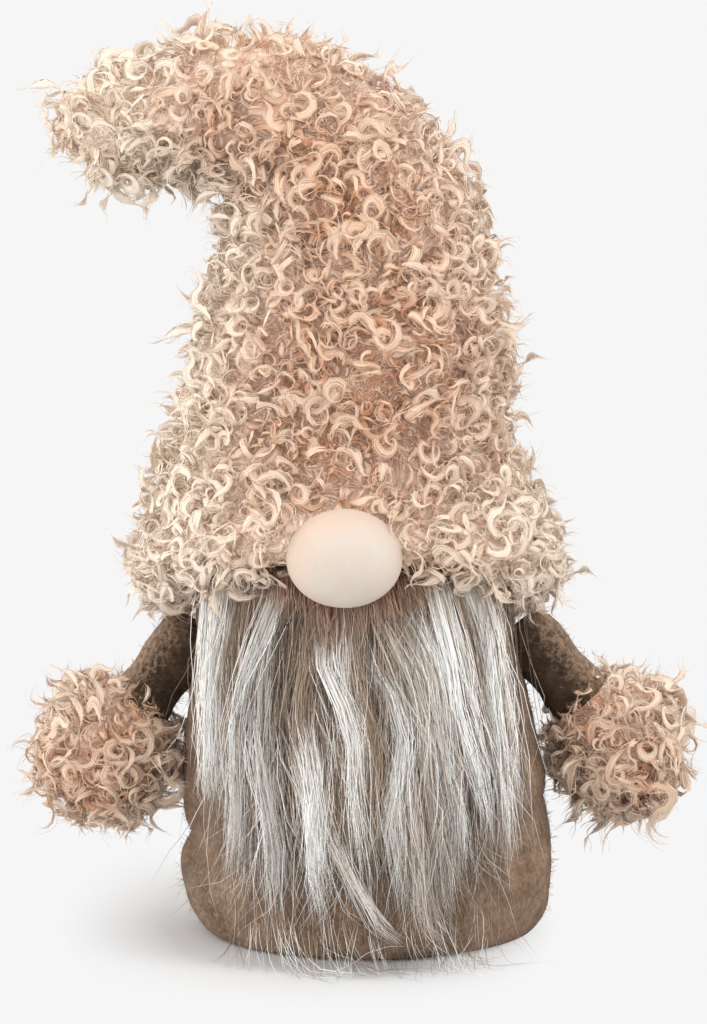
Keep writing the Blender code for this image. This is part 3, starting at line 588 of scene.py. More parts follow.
def scatter_tree():
    """Grows one of a set of locks at each of many points of a cloth."""
    numbers = ("Density", "Spacing", "Smallest", "Largest", "Droop", "Scatter", "Thinnest", "Softness")
    tree, given, result = geometry_tree("Fur on cloth", (
        ("Locks", "NodeSocketCollection"), *((label, "NodeSocketFloat") for label in numbers),
        ("Kinds", "NodeSocketInt"), ("Seed", "NodeSocketInt"), ("Material", "NodeSocketMaterial"),
    ))
    patches = pattern(tree, 75.0, 1.0, position(tree))
    clumps = ranged(tree, patches, 0.38, 0.52, given["Thinnest"], 1.0)
    points = add_node(tree, "GeometryNodeDistributePointsOnFaces", {
        "Mesh": given["Geometry"], "Distance Min": given["Spacing"], "Density Max": given["Density"],
        "Density Factor": times(tree, named(tree, "fur"), clumps), "Seed": given["Seed"],
    }, distribute_method="POISSON")
    hang = scaled(tree, (0, 0, -1), given["Droop"])
    shake = scaled(tree, random_value(tree, "FLOAT_VECTOR", (-1, -1, -1), (1, 1, 1), 3), given["Scatter"])
    stand = combine(tree, "ADD", scaled(tree, points.outputs["Normal"], 0.85), hang)
    upright = add_node(tree, "FunctionNodeAlignRotationToVector", {
        "Vector": combine(tree, "ADD", stand, shake)}, axis="Z")
    spin = random_value(tree, "FLOAT", 0.0, math.tau, 5)
    turn = add_node(tree, "FunctionNodeAxisAngleToRotation", {"Axis": (0, 0, 1), "Angle": spin})
    rotation = add_node(tree, "FunctionNodeRotateRotation", {
        "Rotation": upright.outputs[0], "Rotate By": turn.outputs[0]}, rotation_space="LOCAL")
    size = random_value(tree, "FLOAT", given["Smallest"], given["Largest"], 7)
    kind = random_value(tree, "INT", 0, minus(tree, given["Kinds"], 1), 11)
    locks = add_node(tree, "GeometryNodeCollectionInfo", {
        "Collection": given["Locks"], "Separate Children": True, "Reset Children": True})
    standing = add_node(tree, "GeometryNodeInstanceOnPoints", {
        "Points": points.outputs["Points"], "Instance": locks.outputs[0], "Pick Instance": True,
        "Instance Index": kind, "Rotation": rotation.outputs[0],
        "Scale": times(tree, size, named(tree, "reach"))})
    tone = random_value(tree, "FLOAT", 0.0, 1.0, 13)
    toned = with_number(tree, standing.outputs[0], "tone", tone, "INSTANCE")
    real = add_node(tree, "GeometryNodeRealizeInstances", {"Geometry": toned})
    cloth = add_node(tree, "GeometryNodeProximity", {"Geometry": given["Geometry"]}, target_element="FACES")
    proud = calculate(tree, "DIVIDE", cloth.outputs["Distance"], FUR_HEIGHT * MM)
    measured = with_number(tree, real.outputs[0], "proud", proud)
    out = combine(tree, "SUBTRACT", position(tree), cloth.outputs["Position"])
    soft = softened(tree, measured, combine(tree, "NORMALIZE", out), given["Softness"])
    finish = add_node(tree, "GeometryNodeSetMaterial", {"Geometry": soft, "Material": given["Material"]})
    tree.links.new(finish.outputs[0], result[0])
    return tree


def softened(tree, geometry, out, share):
    """Fibres shaded partly by the way that the fur as a whole faces, as fine hair looks."""
    own = add_node(tree, "GeometryNodeInputNormal").outputs[0]
    facing = combine(tree, "DOT_PRODUCT", own, out)
    leaning = combine(tree, "ADD", own, scaled(tree, out, times(tree, facing, share)))
    leaning = combine(tree, "NORMALIZE", leaning)
    return add_node(tree, "GeometryNodeSetMeshNormal", {
        "Mesh": geometry, "Custom Normal": leaning}, mode="FREE", domain="POINT").outputs[0]


def strand_tree():
    """Grows a bundle of tapering strands along each guide line."""
    tree, given, result = geometry_tree("Strands along lines", (
        ("Points", "NodeSocketInt"), ("Thickness", "NodeSocketFloat"), ("Wander", "NodeSocketFloat"),
        ("Splay", "NodeSocketFloat"), ("Seed", "NodeSocketInt"), ("Material", "NodeSocketMaterial"),
    ))
    curves = add_node(tree, "GeometryNodeMeshToCurve", {"Mesh": given["Geometry"]})
    even = add_node(tree, "GeometryNodeResampleCurve", {"Curve": curves.outputs[0], "Count": given["Points"]})
    many = add_node(tree, "GeometryNodeDuplicateElements", {
        "Geometry": even.outputs[0], "Amount": named(tree, "amount")}, domain="SPLINE")
    strand = add_node(tree, "GeometryNodeCurveOfPoint").outputs["Curve Index"]
    along = add_node(tree, "GeometryNodeSplineParameter").outputs["Factor"]
    spread = random_value(tree, "FLOAT_VECTOR", (-1, -1, -1), (1, 1, 1), given["Seed"], ID=strand)
    chance, loose, root = (random_value(tree, "FLOAT", 0.0, 1.0, seed, ID=strand) for seed in (21, 22, 23))
    stray = calculate(tree, "POWER", loose, 6.0)
    envelope = add_node(tree, "ShaderNodeFloatCurve", {"Value": along})
    curve = envelope.mapping.curves[0]
    curve.points[0].location, curve.points[1].location = (0.0, 1.0), (1.0, 0.16)
    curve.points.new(0.35, 0.95)
    curve.points.new(0.75, 0.48)
    envelope.mapping.update()
    reach = times(tree, envelope.outputs[0], named(tree, "width"))
    fringe = calculate(tree, "MULTIPLY_ADD", stray, 1.5, calculate(tree, "MULTIPLY_ADD", loose, 0.8, 0.5))
    reach = times(tree, reach, fringe)
    flat = combine(tree, "MULTIPLY", spread, (1.0, 0.45, 0.25))
    place = combine(tree, "ADD", position(tree), scaled(tree, spread, 0.4))
    drift = add_node(tree, "ShaderNodeTexNoise", {"Vector": place, "Scale": 12.0, "Detail": 2.0})
    wander = times(tree, given["Wander"], along)
    wander = times(tree, wander, calculate(tree, "MULTIPLY_ADD", stray, 2.6, 0.7))
    sway = scaled(tree, combine(tree, "SUBTRACT", drift.outputs["Color"], (0.5, 0.5, 0.5)), wander)
    apart = times(tree, calculate(tree, "POWER", along, 3.0), times(tree, loose, given["Splay"]))
    splay = scaled(tree, combine(tree, "MULTIPLY", spread, (1.0, 0.35, 0.3)), apart)
    offset = combine(tree, "ADD", combine(tree, "ADD", scaled(tree, flat, reach), sway), splay)
    moved = add_node(tree, "GeometryNodeSetPosition", {"Geometry": many.outputs[0], "Offset": offset})
    end = minus(tree, 1.0, times(tree, 0.36, calculate(tree, "POWER", root, 1.6)))
    trimmed = add_node(tree, "GeometryNodeTrimCurve", {
        "Curve": moved.outputs[0], 2: times(tree, chance, named(tree, "fray")), 3: end}, mode="FACTOR")
    measured = with_number(tree, with_number(tree, trimmed.outputs[0], "along", along), "strand", chance)
    taper = minus(tree, 1.0, times(tree, 0.8, calculate(tree, "POWER", along, 3.0)))
    taper = times(tree, taper, ranged(tree, along, 0.0, 0.12, 0.4, 1.0))
    profile = add_node(
        tree, "GeometryNodeCurvePrimitiveCircle", {"Resolution": 3, "Radius": 1.0}, mode="RADIUS")
    tubes = add_node(tree, "GeometryNodeCurveToMesh", {
        "Curve": measured, "Profile Curve": profile.outputs[0], "Fill Caps": True,
        "Scale": times(tree, taper, given["Thickness"])})
    real = add_node(tree, "GeometryNodeRealizeInstances", {"Geometry": tubes.outputs[0]})
    out = combine(tree, "NORMALIZE", combine(tree, "MULTIPLY", position(tree), (1.0, 1.3, 0.0)))
    soft = softened(tree, real.outputs[0], out, 3.0)
    finish = add_node(tree, "GeometryNodeSetMaterial", {"Geometry": soft, "Material": given["Material"]})
    tree.links.new(finish.outputs[0], result[0])
    return tree


# Materials


def new_material(name, roughness, sheen=0.0, subsurface=0.0, specular=0.3, tint=(1, 1, 1)):
    """A node material, its tree and its shader."""
    material = bpy.data.materials.new(name)
    material.use_nodes = True
    shader = material.node_tree.nodes["Principled BSDF"]
    shader.inputs["Roughness"].default_value = roughness
    shader.inputs["Specular IOR Level"].default_value = specular
    shader.inputs["Sheen Weight"].default_value = sheen
    shader.inputs["Sheen Roughness"].default_value = 0.5
    shader.inputs["Sheen Tint"].default_value = (*tint, 1.0)
    shader.inputs["Subsurface Weight"].default_value = subsurface
    shader.inputs["Subsurface Scale"].default_value = 0.006
    return material, material.node_tree, shader


def mixed(tree, share, first, second, blend="MIX"):
    """Two colours mixed by a share."""
    node = add_node(tree, "ShaderNodeMix", {0: share}, data_type="RGBA", blend_type=blend)
    for socket, colour in ((node.inputs[6], first), (node.inputs[7], second)):
        if isinstance(colour, bpy.types.NodeSocket):
            tree.links.new(colour, socket)
        else:
            socket.default_value = (*colour, 1.0)
    return node.outputs[2]


def pattern(tree, scale, detail=2.0, vector=None, rough=0.5):
    """Noise on the object's own coordinates, or on a vector."""
    if vector is None:
        vector = add_node(tree, "ShaderNodeTexCoord").outputs["Object"]
    return add_node(tree, "ShaderNodeTexNoise", {
        "Vector": vector, "Scale": scale, "Detail": detail, "Roughness": rough}).outputs["Fac"]


def ranged(tree, value, low, high, start=0.0, end=1.0):
    """A number moved from one range to another, and kept in it."""
    return add_node(tree, "ShaderNodeMapRange", {
        "Value": value, "From Min": low, "From Max": high, "To Min": start, "To Max": end}).outputs[0]


def bumped(tree, shader, height, distance, strength=0.6):
    """Raises the surface of a shader by a pattern."""
    bump = add_node(tree, "ShaderNodeBump", {"Height": height, "Distance": distance, "Strength": strength})
    tree.links.new(bump.outputs[0], shader.inputs["Normal"])


def stored(tree, label):
    """A number stored on the mesh."""
    return add_node(tree, "ShaderNodeAttribute", attribute_name=label).outputs["Fac"]


def seen_directly(tree):
    """1 where a surface is seen, also mirrored or through glass, and 0 for the light that it gives."""
    ray = add_node(tree, "ShaderNodeLightPath").outputs
    bounced = calculate(tree, "MAXIMUM", ray["Is Glossy Ray"], ray["Is Transmission Ray"])
    return calculate(tree, "MAXIMUM", ray["Is Camera Ray"], bounced)


def fibre_gaps(tree, uv, across, along, tone):
    """How solid a lock is: bands of fibres are streaked with gaps, wider at their edges and ends."""
    shift = add_node(tree, "ShaderNodeCombineXYZ", {0: times(tree, tone, 40.0)}).outputs[0]
    shifted = combine(tree, "ADD", uv, shift)
    hairs = pattern(tree, 1.0, 2.0, combine(tree, "MULTIPLY", shifted, (15.0, 1.3, 1.0)), rough=0.6)
    edge = calculate(tree, "ABSOLUTE", minus(tree, across, BAND_UV + 0.5))
    hairs = minus(tree, hairs, ranged(tree, edge, 0.12, 0.5, 0.0, 0.2))
    hairs = minus(tree, hairs, ranged(tree, along, 0.55, 1.0, 0.0, 0.14))
    single = calculate(tree, "LESS_THAN", across, BAND_UV - 0.5)
    solid = calculate(tree, "MAXIMUM", ranged(tree, hairs, 0.31, 0.47), single)
    shadow = times(tree, add_node(tree, "ShaderNodeLightPath").outputs["Is Shadow Ray"], LIGHT_THROUGH)
    return times(tree, solid, minus(tree, 1.0, shadow))


def curl_material(settings, name="curly_fur"):
    """Curly fur, rosy brown down at the cloth and cream where it stands proud, with painted light from the
    pale share that makes its tips and roots paler where light falls.
    """
    material, tree, shader = new_material(name, 0.65, sheen=0.7, specular=0.2, tint=(1.0, 0.82, 0.66))
    uv = add_node(tree, "ShaderNodeTexCoord").outputs["UV"]
    split = add_node(tree, "ShaderNodeSeparateXYZ", {0: uv})
    across, along = split.outputs[0], split.outputs[1]
    tone, proud, pale = stored(tree, "tone"), stored(tree, "proud"), stored(tree, "pale")
    tree.links.new(fibre_gaps(tree, uv, across, along, tone), shader.inputs["Alpha"])
    patch = ranged(tree, pattern(tree, 26.0, 2.0), 0.38, 0.62, 0.30, -0.34)
    height = plus(tree, plus(tree, proud, patch), ranged(tree, tone, 0.0, 1.0, -0.2, 0.16))
    # Painted light: the pale share lifts the colour towards the tips where light falls on the fur
    height = plus(tree, height, ranged(tree, pale, 0.0, 1.0, -0.22, 0.4))
    height = times(tree, height, ranged(tree, along, 0.0, 0.25, 0.6, 1.0))
    streak = pattern(tree, 1.0, 3.0, combine(tree, "MULTIPLY", uv, (20.0, 4.0, 1.0)), rough=0.7)
    height = plus(tree, height, ranged(tree, streak, 0.32, 0.68, -0.28, 0.16))
    # Painted light and shade: lit and shaded copies of the colours, chosen by the pale share
    tip = mixed(tree, ranged(tree, pale, 0.1, 1.0), SHADED_FUR_TIP, settings.tip_colour)
    root = mixed(tree, ranged(tree, pale, 0.1, 1.0, 0.0, 0.9), settings.root_colour, FUR_PALE)
    middle = mixed(tree, ranged(tree, pale, 0.1, 1.0, 0.0, 0.8), settings.middle_colour, FUR_PALE)
    colour = mixed(tree, ranged(tree, height, 0.0, 0.42), root, middle)
    colour = mixed(tree, ranged(tree, height, 0.36, 0.95), colour, tip)
    shade = times(tree, ranged(tree, streak, 0.3, 0.7, 0.9, 1.04), ranged(tree, tone, 0.0, 1.0, 0.95, 1.04))
    grey = add_node(tree, "ShaderNodeCombineXYZ", {0: shade, 1: shade, 2: shade}).outputs[0]
    colour = mixed(tree, 1.0, colour, grey, "MULTIPLY")
    coloured(tree, shader, colour)
    return material


def ground_material(name, pale, colour, dark):
    """The ground that fur grows from, with fine curly fur lying close to it, and painted light that makes it
    paler where the fur is lit.
    """
    material, tree, shader = new_material(name, 0.9, sheen=0.6, specular=0.1, tint=colour)
    place = add_node(tree, "ShaderNodeTexCoord").outputs["Object"]
    field = add_node(tree, "ShaderNodeTexNoise", {
        "Vector": place, "Scale": 60.0, "Detail": 1.0, "Roughness": 0.5, "Distortion": 1.6}).outputs["Fac"]
    curls = calculate(tree, "SINE", times(tree, field, 80.0))
    fleck = pattern(tree, 600.0, 2.0)
    lines = plus(tree, times(tree, curls, 0.6), times(tree, fleck, 0.8))
    painted_light = stored(tree, "pale")
    # Painted light: the pale share makes the ground paler where the fur is lit
    patch = minus(tree, pattern(tree, 26.0, 2.0), ranged(tree, painted_light, 0.0, 1.0, -0.04, 0.16))
    mixture = mixed(tree, ranged(tree, patch, 0.58, 0.40), dark, colour)
    mixture = mixed(tree, ranged(tree, painted_light, 0.1, 1.0, 0.0, 0.9), mixture, pale)
    coloured(tree, shader, mixed(tree, ranged(tree, lines, 0.0, 1.1, 0.0, 0.8), mixture, pale))
    bumped(tree, shader, lines, 0.0015, 0.8)
    return material


def dimmed(colour, share):
    """A colour made darker."""
    return tuple(share * part for part in colour)


def felt_material(settings, name="brown_felt", share=1.0, faded=False):
    """Mottled wool felt with pale and dark fibres, and painted light on the side that the cloth marks as its
    top.
    """
    main, pale = dimmed(settings.felt_colour, share), dimmed(settings.fleck_colour, share)
    dark = dimmed(settings.shade_colour, share)
    material, tree, shader = new_material(name, 0.93, sheen=0.05, specular=0.08)
    cloud, fleck = pattern(tree, 45.0, 3.0), pattern(tree, 420.0, 3.0, rough=0.7)
    fibre = pattern(tree, 1300.0, 2.0)
    colour = mixed(tree, ranged(tree, cloud, 0.35, 0.65, 0.0, 0.6), main, pale)
    colour = mixed(tree, ranged(tree, pattern(tree, 110.0, 3.0), 0.55, 0.35, 0.0, 0.45), colour, dark)
    colour = mixed(tree, ranged(tree, fleck, 0.5, 0.7, 0.0, 0.6), colour, pale)
    colour = mixed(tree, ranged(tree, fleck, 0.5, 0.3, 0.0, 0.45), colour, dark)
    if faded:
        # Painted light: mixed towards the fleck colour on the upper side
        lit_share = plus(tree, stored(tree, "faded"), ranged(tree, fleck, 0.35, 0.65, -0.2, 0.2))
        colour = mixed(tree, ranged(tree, lit_share, 0.6, 1.1, 0.0, 0.7), colour, settings.fleck_colour)
    coloured(tree, shader, colour)
    bumped(tree, shader, plus(tree, fleck, times(tree, fibre, 0.5)), 0.0010, 0.7)
    return material


def nap_material(settings, name="felt_nap", share=1.0):
    """Loose fibres of the felt, from dark brown to pale."""
    material, tree, shader = new_material(name, 0.8, specular=0.2)
    main, pale = dimmed(settings.felt_colour, share), dimmed(settings.fleck_colour, share)
    coloured(tree, shader, mixed(tree, ranged(tree, stored(tree, "tone"), 0.1, 0.9), main, pale))
    return material


def nose_material(settings):
    """Fine knitted cloth, blotched, with painted rosy shade and reflected fur colour towards its edge."""
    material, tree, shader = new_material("nose_jersey", 0.85, sheen=0.2, subsurface=0.25, specular=0.15)
    knit, blotch = pattern(tree, 1500.0, 2.0), pattern(tree, 70.0, 3.0)
    colour = mixed(tree, ranged(tree, blotch, 0.3, 0.7, 0.0, 0.45), settings.nose_colour, NOSE_BLOTCH)
    colour = mixed(tree, ranged(tree, knit, 0.4, 0.65, 0.0, 0.3), colour, NOSE_KNIT)
    # Painted shade: darker and rosier towards the rim, as the fur around shades it and throws its colour on
    # it
    middle = tuple((np.array(NOSE_CENTRE, float) + np.array(NOSE_UNSHADED_SHIFT)) * MM)
    away = combine(tree, "SUBTRACT", add_node(tree, "ShaderNodeTexCoord").outputs["Object"], middle)
    sizes = (1 / (NOSE_HALF_WIDTH * MM), 0.0, 1 / (NOSE_HALF_HEIGHT * MM))
    share = ranged(tree, combine(tree, "LENGTH", combine(tree, "MULTIPLY", away, sizes)), 0.6, 1.15, 0.0, 0.7)
    coloured(tree, shader, mixed(tree, share, colour, NOSE_PAINTED_RIM))
    bumped(tree, shader, knit, 0.0004, 0.5)
    return material


def beard_material(settings):
    """Straight glossy strands from dark brown to white by their tone."""
    material, tree, shader = new_material("beard_fur", 0.45, sheen=0.15, specular=0.45)
    tone, along, strand = stored(tree, "tone"), stored(tree, "along"), stored(tree, "strand")
    odd = ranged(tree, strand, 0.82, 0.9, 0.0, -0.5)
    tone = plus(tree, plus(tree, tone, ranged(tree, strand, 0.0, 0.8, -0.18, 0.10)), odd)
    colour = mixed(tree, ranged(tree, tone, 0.05, 0.42), settings.dark_colour, settings.tan_colour)
    colour = mixed(tree, ranged(tree, tone, 0.42, 0.78), colour, settings.white_colour)
    colour = mixed(tree, ranged(tree, along, 0.2, 0.02, 0.0, 0.55), colour, settings.tan_colour)
    colour = mixed(tree, ranged(tree, along, 0.85, 1.0, 0.0, 0.2), colour, settings.dark_colour)
    coloured(tree, shader, colour)
    return material


def core_material(settings):
    """Close fine strands inside a pale lock, in streaks along it."""
    material, tree, shader = new_material("beard_core", 0.6, sheen=0.1, specular=0.3)
    uv = add_node(tree, "ShaderNodeTexCoord").outputs["UV"]
    streak = pattern(tree, 1.0, 3.0, combine(tree, "MULTIPLY", uv, (34.0, 3.5, 1.0)), rough=0.7)
    tone = plus(tree, stored(tree, "tone"), ranged(tree, streak, 0.3, 0.6, -0.45, 0.05))
    colour = mixed(tree, ranged(tree, tone, 0.05, 0.45), settings.dark_colour, settings.tan_colour)
    colour = mixed(tree, ranged(tree, tone, 0.42, 0.78), colour, settings.white_colour)
    coloured(tree, shader, colour)
    bumped(tree, shader, streak, 0.0012, 0.8)
    return material


def rosy_material():
    """Short rosy brown fur, paler at its ends."""
    material, tree, shader = new_material("rosy_fur", 0.5, sheen=0.1, specular=0.3)
    colour = mixed(tree, ranged(tree, stored(tree, "tone"), 0.0, 1.0), SHORT_FUR_DARK, SHORT_FUR)
    colour = mixed(tree, ranged(tree, stored(tree, "along"), 0.4, 1.0, 0.0, 0.7), colour, SHORT_FUR_TIP)
    coloured(tree, shader, colour)
    return material


def plain_material(name, colour, pale, scale, roughness, metallic=0.0):
    """A speckled finish for a piece inside the figurine."""
    material, tree, shader = new_material(name, roughness)
    shader.inputs["Metallic"].default_value = metallic
    grain = pattern(tree, scale, 4.0, rough=0.6)
    coloured(tree, shader, mixed(tree, ranged(tree, grain, 0.3, 0.7), colour, pale))
    bumped(tree, shader, grain, 0.0005, 0.4)
    return material


# Locks of curly fur


def curl_line(bends, step=COARSE_STEP):
    """Places, headings and bend axes along a lock that leaves the cloth upwards."""
    place, heading = Vector((0, 0, -ROOT_DEPTH)), Vector((0, 0, 1))
    made = [(place.copy(), heading.copy(), Vector((0, 1, 0)))]
    done, total = 0.0, sum(abs(b[2]) for b in bends)
    for length, axis, degrees in bends:
        steps = max(1, round(abs(degrees) / step))
        axis = Vector(axis).normalized()
        for _ in range(steps):
            share = done / total
            shrink = 1.12 - 0.42 * share
            heading = Matrix.Rotation(math.radians(degrees / steps), 3, axis) @ heading
            place = place + heading * (length / steps * shrink)
            done += abs(degrees) / steps
            made.append((place.copy(), heading.copy(), axis.copy()))
    return made


def sweep(line, outline, across, points, faces, uv):
    """Adds a closed tapering tube with the given outline at each share of the line."""
    first, sides = len(points), len(across)
    for i, (place, heading, axis) in enumerate(line):
        share = i / (len(line) - 1)
        side = heading.cross(axis)
        side = side.normalized() if side.length > 1e-6 else heading.orthogonal().normalized()
        up = side.cross(heading).normalized()
        for x, y in outline(share):
            points.append(place + side * x + up * y)
    last = len(line) - 1
    tube, corners = tube_faces(first, (*across, across[0]), shares(last))
    faces += tube
    uv += corners
    faces.append(tuple(first + last * sides + j for j in range(sides)))
    uv += [(across[j], 1.0) for j in range(sides)]
    faces.append(tuple(first + j for j in reversed(range(sides))))
    uv += [(across[j], 0.0) for j in reversed(range(sides))]


def strand_outline(shift, width, flat):
    """A flattened strand beside the lock's line, thin at its root and run out in a point."""

    def outline(share):
        taper = (0.45 + 0.55 * ease(share / 0.3)) * (1 - 0.93 * ease((share - 0.5) / 0.5))
        half, thick = 0.5 * width * taper, 0.42 * width * taper
        gather = shift * (0.5 + 0.5 * ease(share / 0.3)) * (1 - 0.8 * ease((share - 0.5) / 0.5))
        corners = ((gather - half, -thick * 0.5), (gather + half, -thick * 0.5), (gather, thick))
        return [(x, y) if flat else (y, -x) for x, y in corners]

    return outline


def ribbon_outline(width, flat):
    """A ridged band of many fibres that lie together, run out in a point."""
    section = ((-1.0, 0.0), (-0.4, 0.15), (0.35, 0.13), (1.0, 0.0), (0.0, -0.1))

    def outline(share):
        taper = (0.5 + 0.5 * ease(share / 0.25)) * (1 - 0.92 * ease((share - 0.4) / 0.6))
        half = 0.5 * width * taper
        corners = [(x * half, y * half) for x, y in section]
        return [(x, y) if flat else (y, -x) for x, y in corners]

    return outline


def fibre_outline(shift, rise, radius):
    """A thin round fibre beside the lock's line."""

    def outline(share):
        size = radius * (1 - 0.75 * ease((share - 0.5) / 0.5))
        gather = 1 - 0.6 * ease((share - 0.5) / 0.5)
        return [(shift * gather + size * math.cos(a), rise * gather + size * math.sin(a))
                for a in (0, math.tau / 3, 2 * math.tau / 3)]

    return outline


def new_collection(name):
    """An empty collection in the scene."""
    made = bpy.data.collections.new(name)
    bpy.context.scene.collection.children.link(made)
    return made


def keep_lock(collection, number, points, faces, uv):
    """Adds a lock to a collection, as one mesh."""
    lock = add_object(f"{collection.name}_{number:02d}", points, faces, uv)
    bpy.context.scene.collection.objects.unlink(lock)
    collection.objects.link(lock)


def wandering(line, number, amount):
    """A lock's line, moved a little for one of its strands."""
    made = []
    for place, heading, axis in line:
        move = Vector([wavy(place, 9, number * seed) for seed in (3.1, 5.7, 7.9)])
        made.append((place + move * 1.8 * amount, heading, axis))
    return made


def lock_collection(name):
    """A collection of locks that curly fur is grown from."""
    made = new_collection(name)
    pick = random.Random(LOCK_SEED)
    for number, (kind, width, bends) in enumerate(LOCKS):
        line = curl_line(bends, FINE_STEP if kind == "ribbon" else COARSE_STEP)
        points, faces, uv = [], [], []
        flat = number % 2 == 0
        for k in range(LOCK_STRANDS[kind]):
            bent = wandering(line, k, {"ribbon": 0.7 + 0.9 * k, "bundle": 0.5}.get(kind, 1.0))
            cut = len(bent) - (pick.choice((0, 0, 1)) if kind != "stray" else 0)
            if kind == "ribbon" and k == 0:
                across = tuple(BAND_UV + x for x in (0.03, 0.32, 0.66, 0.97, 0.5))
                sweep(bent, ribbon_outline(width, number != EDGEWISE_LOCK), across, points, faces, uv)
                continue
            if kind == "bundle":
                outline = strand_outline((k - 1) * width * 0.36, width * pick.uniform(0.32, 0.46), flat)
            elif kind == "stray":
                outline = fibre_outline(0.0, 0.0, 0.2)
            else:
                shift, rise = pick.uniform(-0.6, 0.6) * width, pick.uniform(-0.35, 0.35) * width
                outline = fibre_outline(shift, rise, pick.uniform(0.17, 0.3))
            sweep(bent[:cut], outline, (0.2 + 0.2 * k, 0.35 + 0.2 * k, 0.3 + 0.2 * k), points, faces, uv)
        keep_lock(made, number, points, faces, uv)
    return made


def remove_collection(collection):
    """Removes a collection and the locks in it."""
    for lock in list(collection.objects):
        bpy.data.objects.remove(lock)
    bpy.data.collections.remove(collection)


# Pieces


def finished(made, body, slot, *nodes, material=None):
    """Gives a piece its material and its body, or only bakes its place where the body is a bend, and hides
    the nodes that it stands for; the slot is not used.
    """
    if material is not None:
        made.data.materials.clear()
        made.data.materials.append(material)
    if isinstance(body, str):
        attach(made, body)
    else:
        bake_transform(made)
    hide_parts(*nodes)


def brim_lift(angle, height):
    """How far the brim is raised at the front and dips at the back."""
    rise = BRIM_RISE * math.cos(angle) + BRIM_WAVE * (1 + math.cos(2 * angle))
    return rise * (1 - ease((height - BRIM_HEIGHT) / BRIM_FADE))


def fur_share(place, number):
    """The share of fur at a place on the hat: less inside the brim, and none over the nose."""
    above = place[2] - NOSE_CENTRE[2]
    near = math.hypot(place[0] - NOSE_CENTRE[0], above * (NOSE_CLEAR_RISE if above > 0 else 1.0))
    share = 1.0 if number > INSIDE_ROWS * HAT_ROW_STEPS else INSIDE_FUR
    if place[1] < HAT_FRONT:
        clear = NOSE_CLEAR["right" if place[0] > NOSE_CENTRE[0] else "left"]
        share *= ease((near - clear) / NOSE_CLEAR_FADE)
    return share


def painted_light_share(place, angle):
    """Share of painted light on the hat's fur at a place: it is made paler at its sides, most on the left
    towards the lamps there, low down and at the end of its tip.
    """
    low = 0.5 * ease((250 - place[2]) / 60) + 0.8 * ease((-70 - place[0]) / 40) * (place[2] > 300)
    return min(1.0, 0.1 + low + abs(math.sin(angle)) ** 2.2 * (1.0 if math.sin(angle) < 0 else 0.5))


def hat_rings():
    """Rings of the hat's cloth from inside the brim to near the tip, and the fur and its share of painted
    light at each of their points.
    """
    rows = [(c - w, h, c + w, h, w * DEPTH_SHARE) for h, c, w in BRIM_ROWS] + list(BEND_ROWS)
    rings, values = [], {"fur": [], "reach": [], "pale": []}
    for number, (ax, az, bx, bz, depth) in enumerate(through(rows, HAT_ROW_STEPS)):
        centre = np.array(((ax + bx) / 2, 0, (az + bz) / 2))
        half = np.array(((bx - ax) / 2, 0, (bz - az) / 2))
        length = np.linalg.norm(half)
        half *= (length - CLOTH_INSET) / length
        ring, fur, reach, pale = [], [], [], []
        for j in range(HAT_SIDES):
            angle = math.tau * j / HAT_SIDES
            forwards = np.array((0, -(depth - CLOTH_INSET) * math.cos(angle), 0))
            place = centre + half * math.sin(angle) + forwards
            place[2] += brim_lift(angle, place[2]) if number < HAT_ROW_STEPS * len(BRIM_ROWS) else 0
            away = place - centre
            place = place + away / (np.linalg.norm(away) + 1e-6) * lumpy(place, HAT_LUMPS)
            ring.append(place)
            fur.append(fur_share(place, number))
            reach.append(1 - BACK_SHORTER * max(0.0, -math.cos(angle)) ** 2)
            # Painted light: the pale share makes the fur paler where light falls on it
            pale.append(painted_light_share(place, angle))
        rings.append(ring)
        for label, row in (("fur", fur), ("reach", reach), ("pale", pale)):
            values[label].append(row)
    return np.array(rings), {label: np.array(rows) for label, rows in values.items()}


class MakeHat(bpy.types.Operator):
    """Makes the bent hat of curly fur cloth"""

    bl_idname = "elf.hat"
    bl_label = "Hat"

    def execute(self, context):
        curls = context.scene.elf_curls
        bend = ("torso", "bent_tip", BEND_START, BEND_END)
        tip = (TIP_POINT[0] + CLOTH_INSET, 0, TIP_POINT[2])
        rings, fur = hat_rings()
        ground = ground_material("hat_ground", FUR_PALE, FUR_ROSY, FUR_DARK)
        skin = loft("hat_cloth", rings, None, tip, {"pale": fur["pale"]})
        nodes = ("hat_crown", "hat_filling", "hat_tip", "hat_tip_filling")
        finished(skin, bend, "curly_fur", *nodes, material=ground)
        locks = lock_collection("hat_lock")
        tree, material = scatter_tree(), curl_material(curls)
        numbers = {**HAT_FUR, "Spacing": curls.spacing, "Droop": curls.droop, "Scatter": curls.scatter}
        for number, (first, last) in enumerate(zip(HAT_BAND_ROWS, HAT_BAND_ROWS[1:])):
            last = min(last, len(rings) - 1)
            band = slice(first, last + 1)
            end = tip if last == len(rings) - 1 else None
            values = {label: rows[band] for label, rows in fur.items()}
            base = loft("hat_base", rings[band], None, end, values)
            name = f"hat_curls_{number + 1}"
            made = planted(base, tree, name, locks, curls.hat_density, 10 + number, material, numbers)
            low = last <= HAT_ROW_STEPS * len(BRIM_ROWS)
            finished(made, "torso" if low else bend, "curly_fur", "hat_crown" if low else "hat_tip")
        remove_collection(locks)
        return {"FINISHED"}


def arm_ring(pivot, direction, distance, radius, sides, seed):
    """A ring of points round an arm's line."""
    side = Vector((0, 1, 0)).cross(direction).normalized()
    ring = []
    for j in range(sides):
        angle = math.tau * j / sides
        out = side * math.cos(angle) + Vector((0, 1, 0)) * math.sin(angle)
        place = pivot + direction * distance + out * radius
        ring.append(place + out * lumpy(place, ((1.1, 13, seed), (0.5, 5, seed))))
    return ring


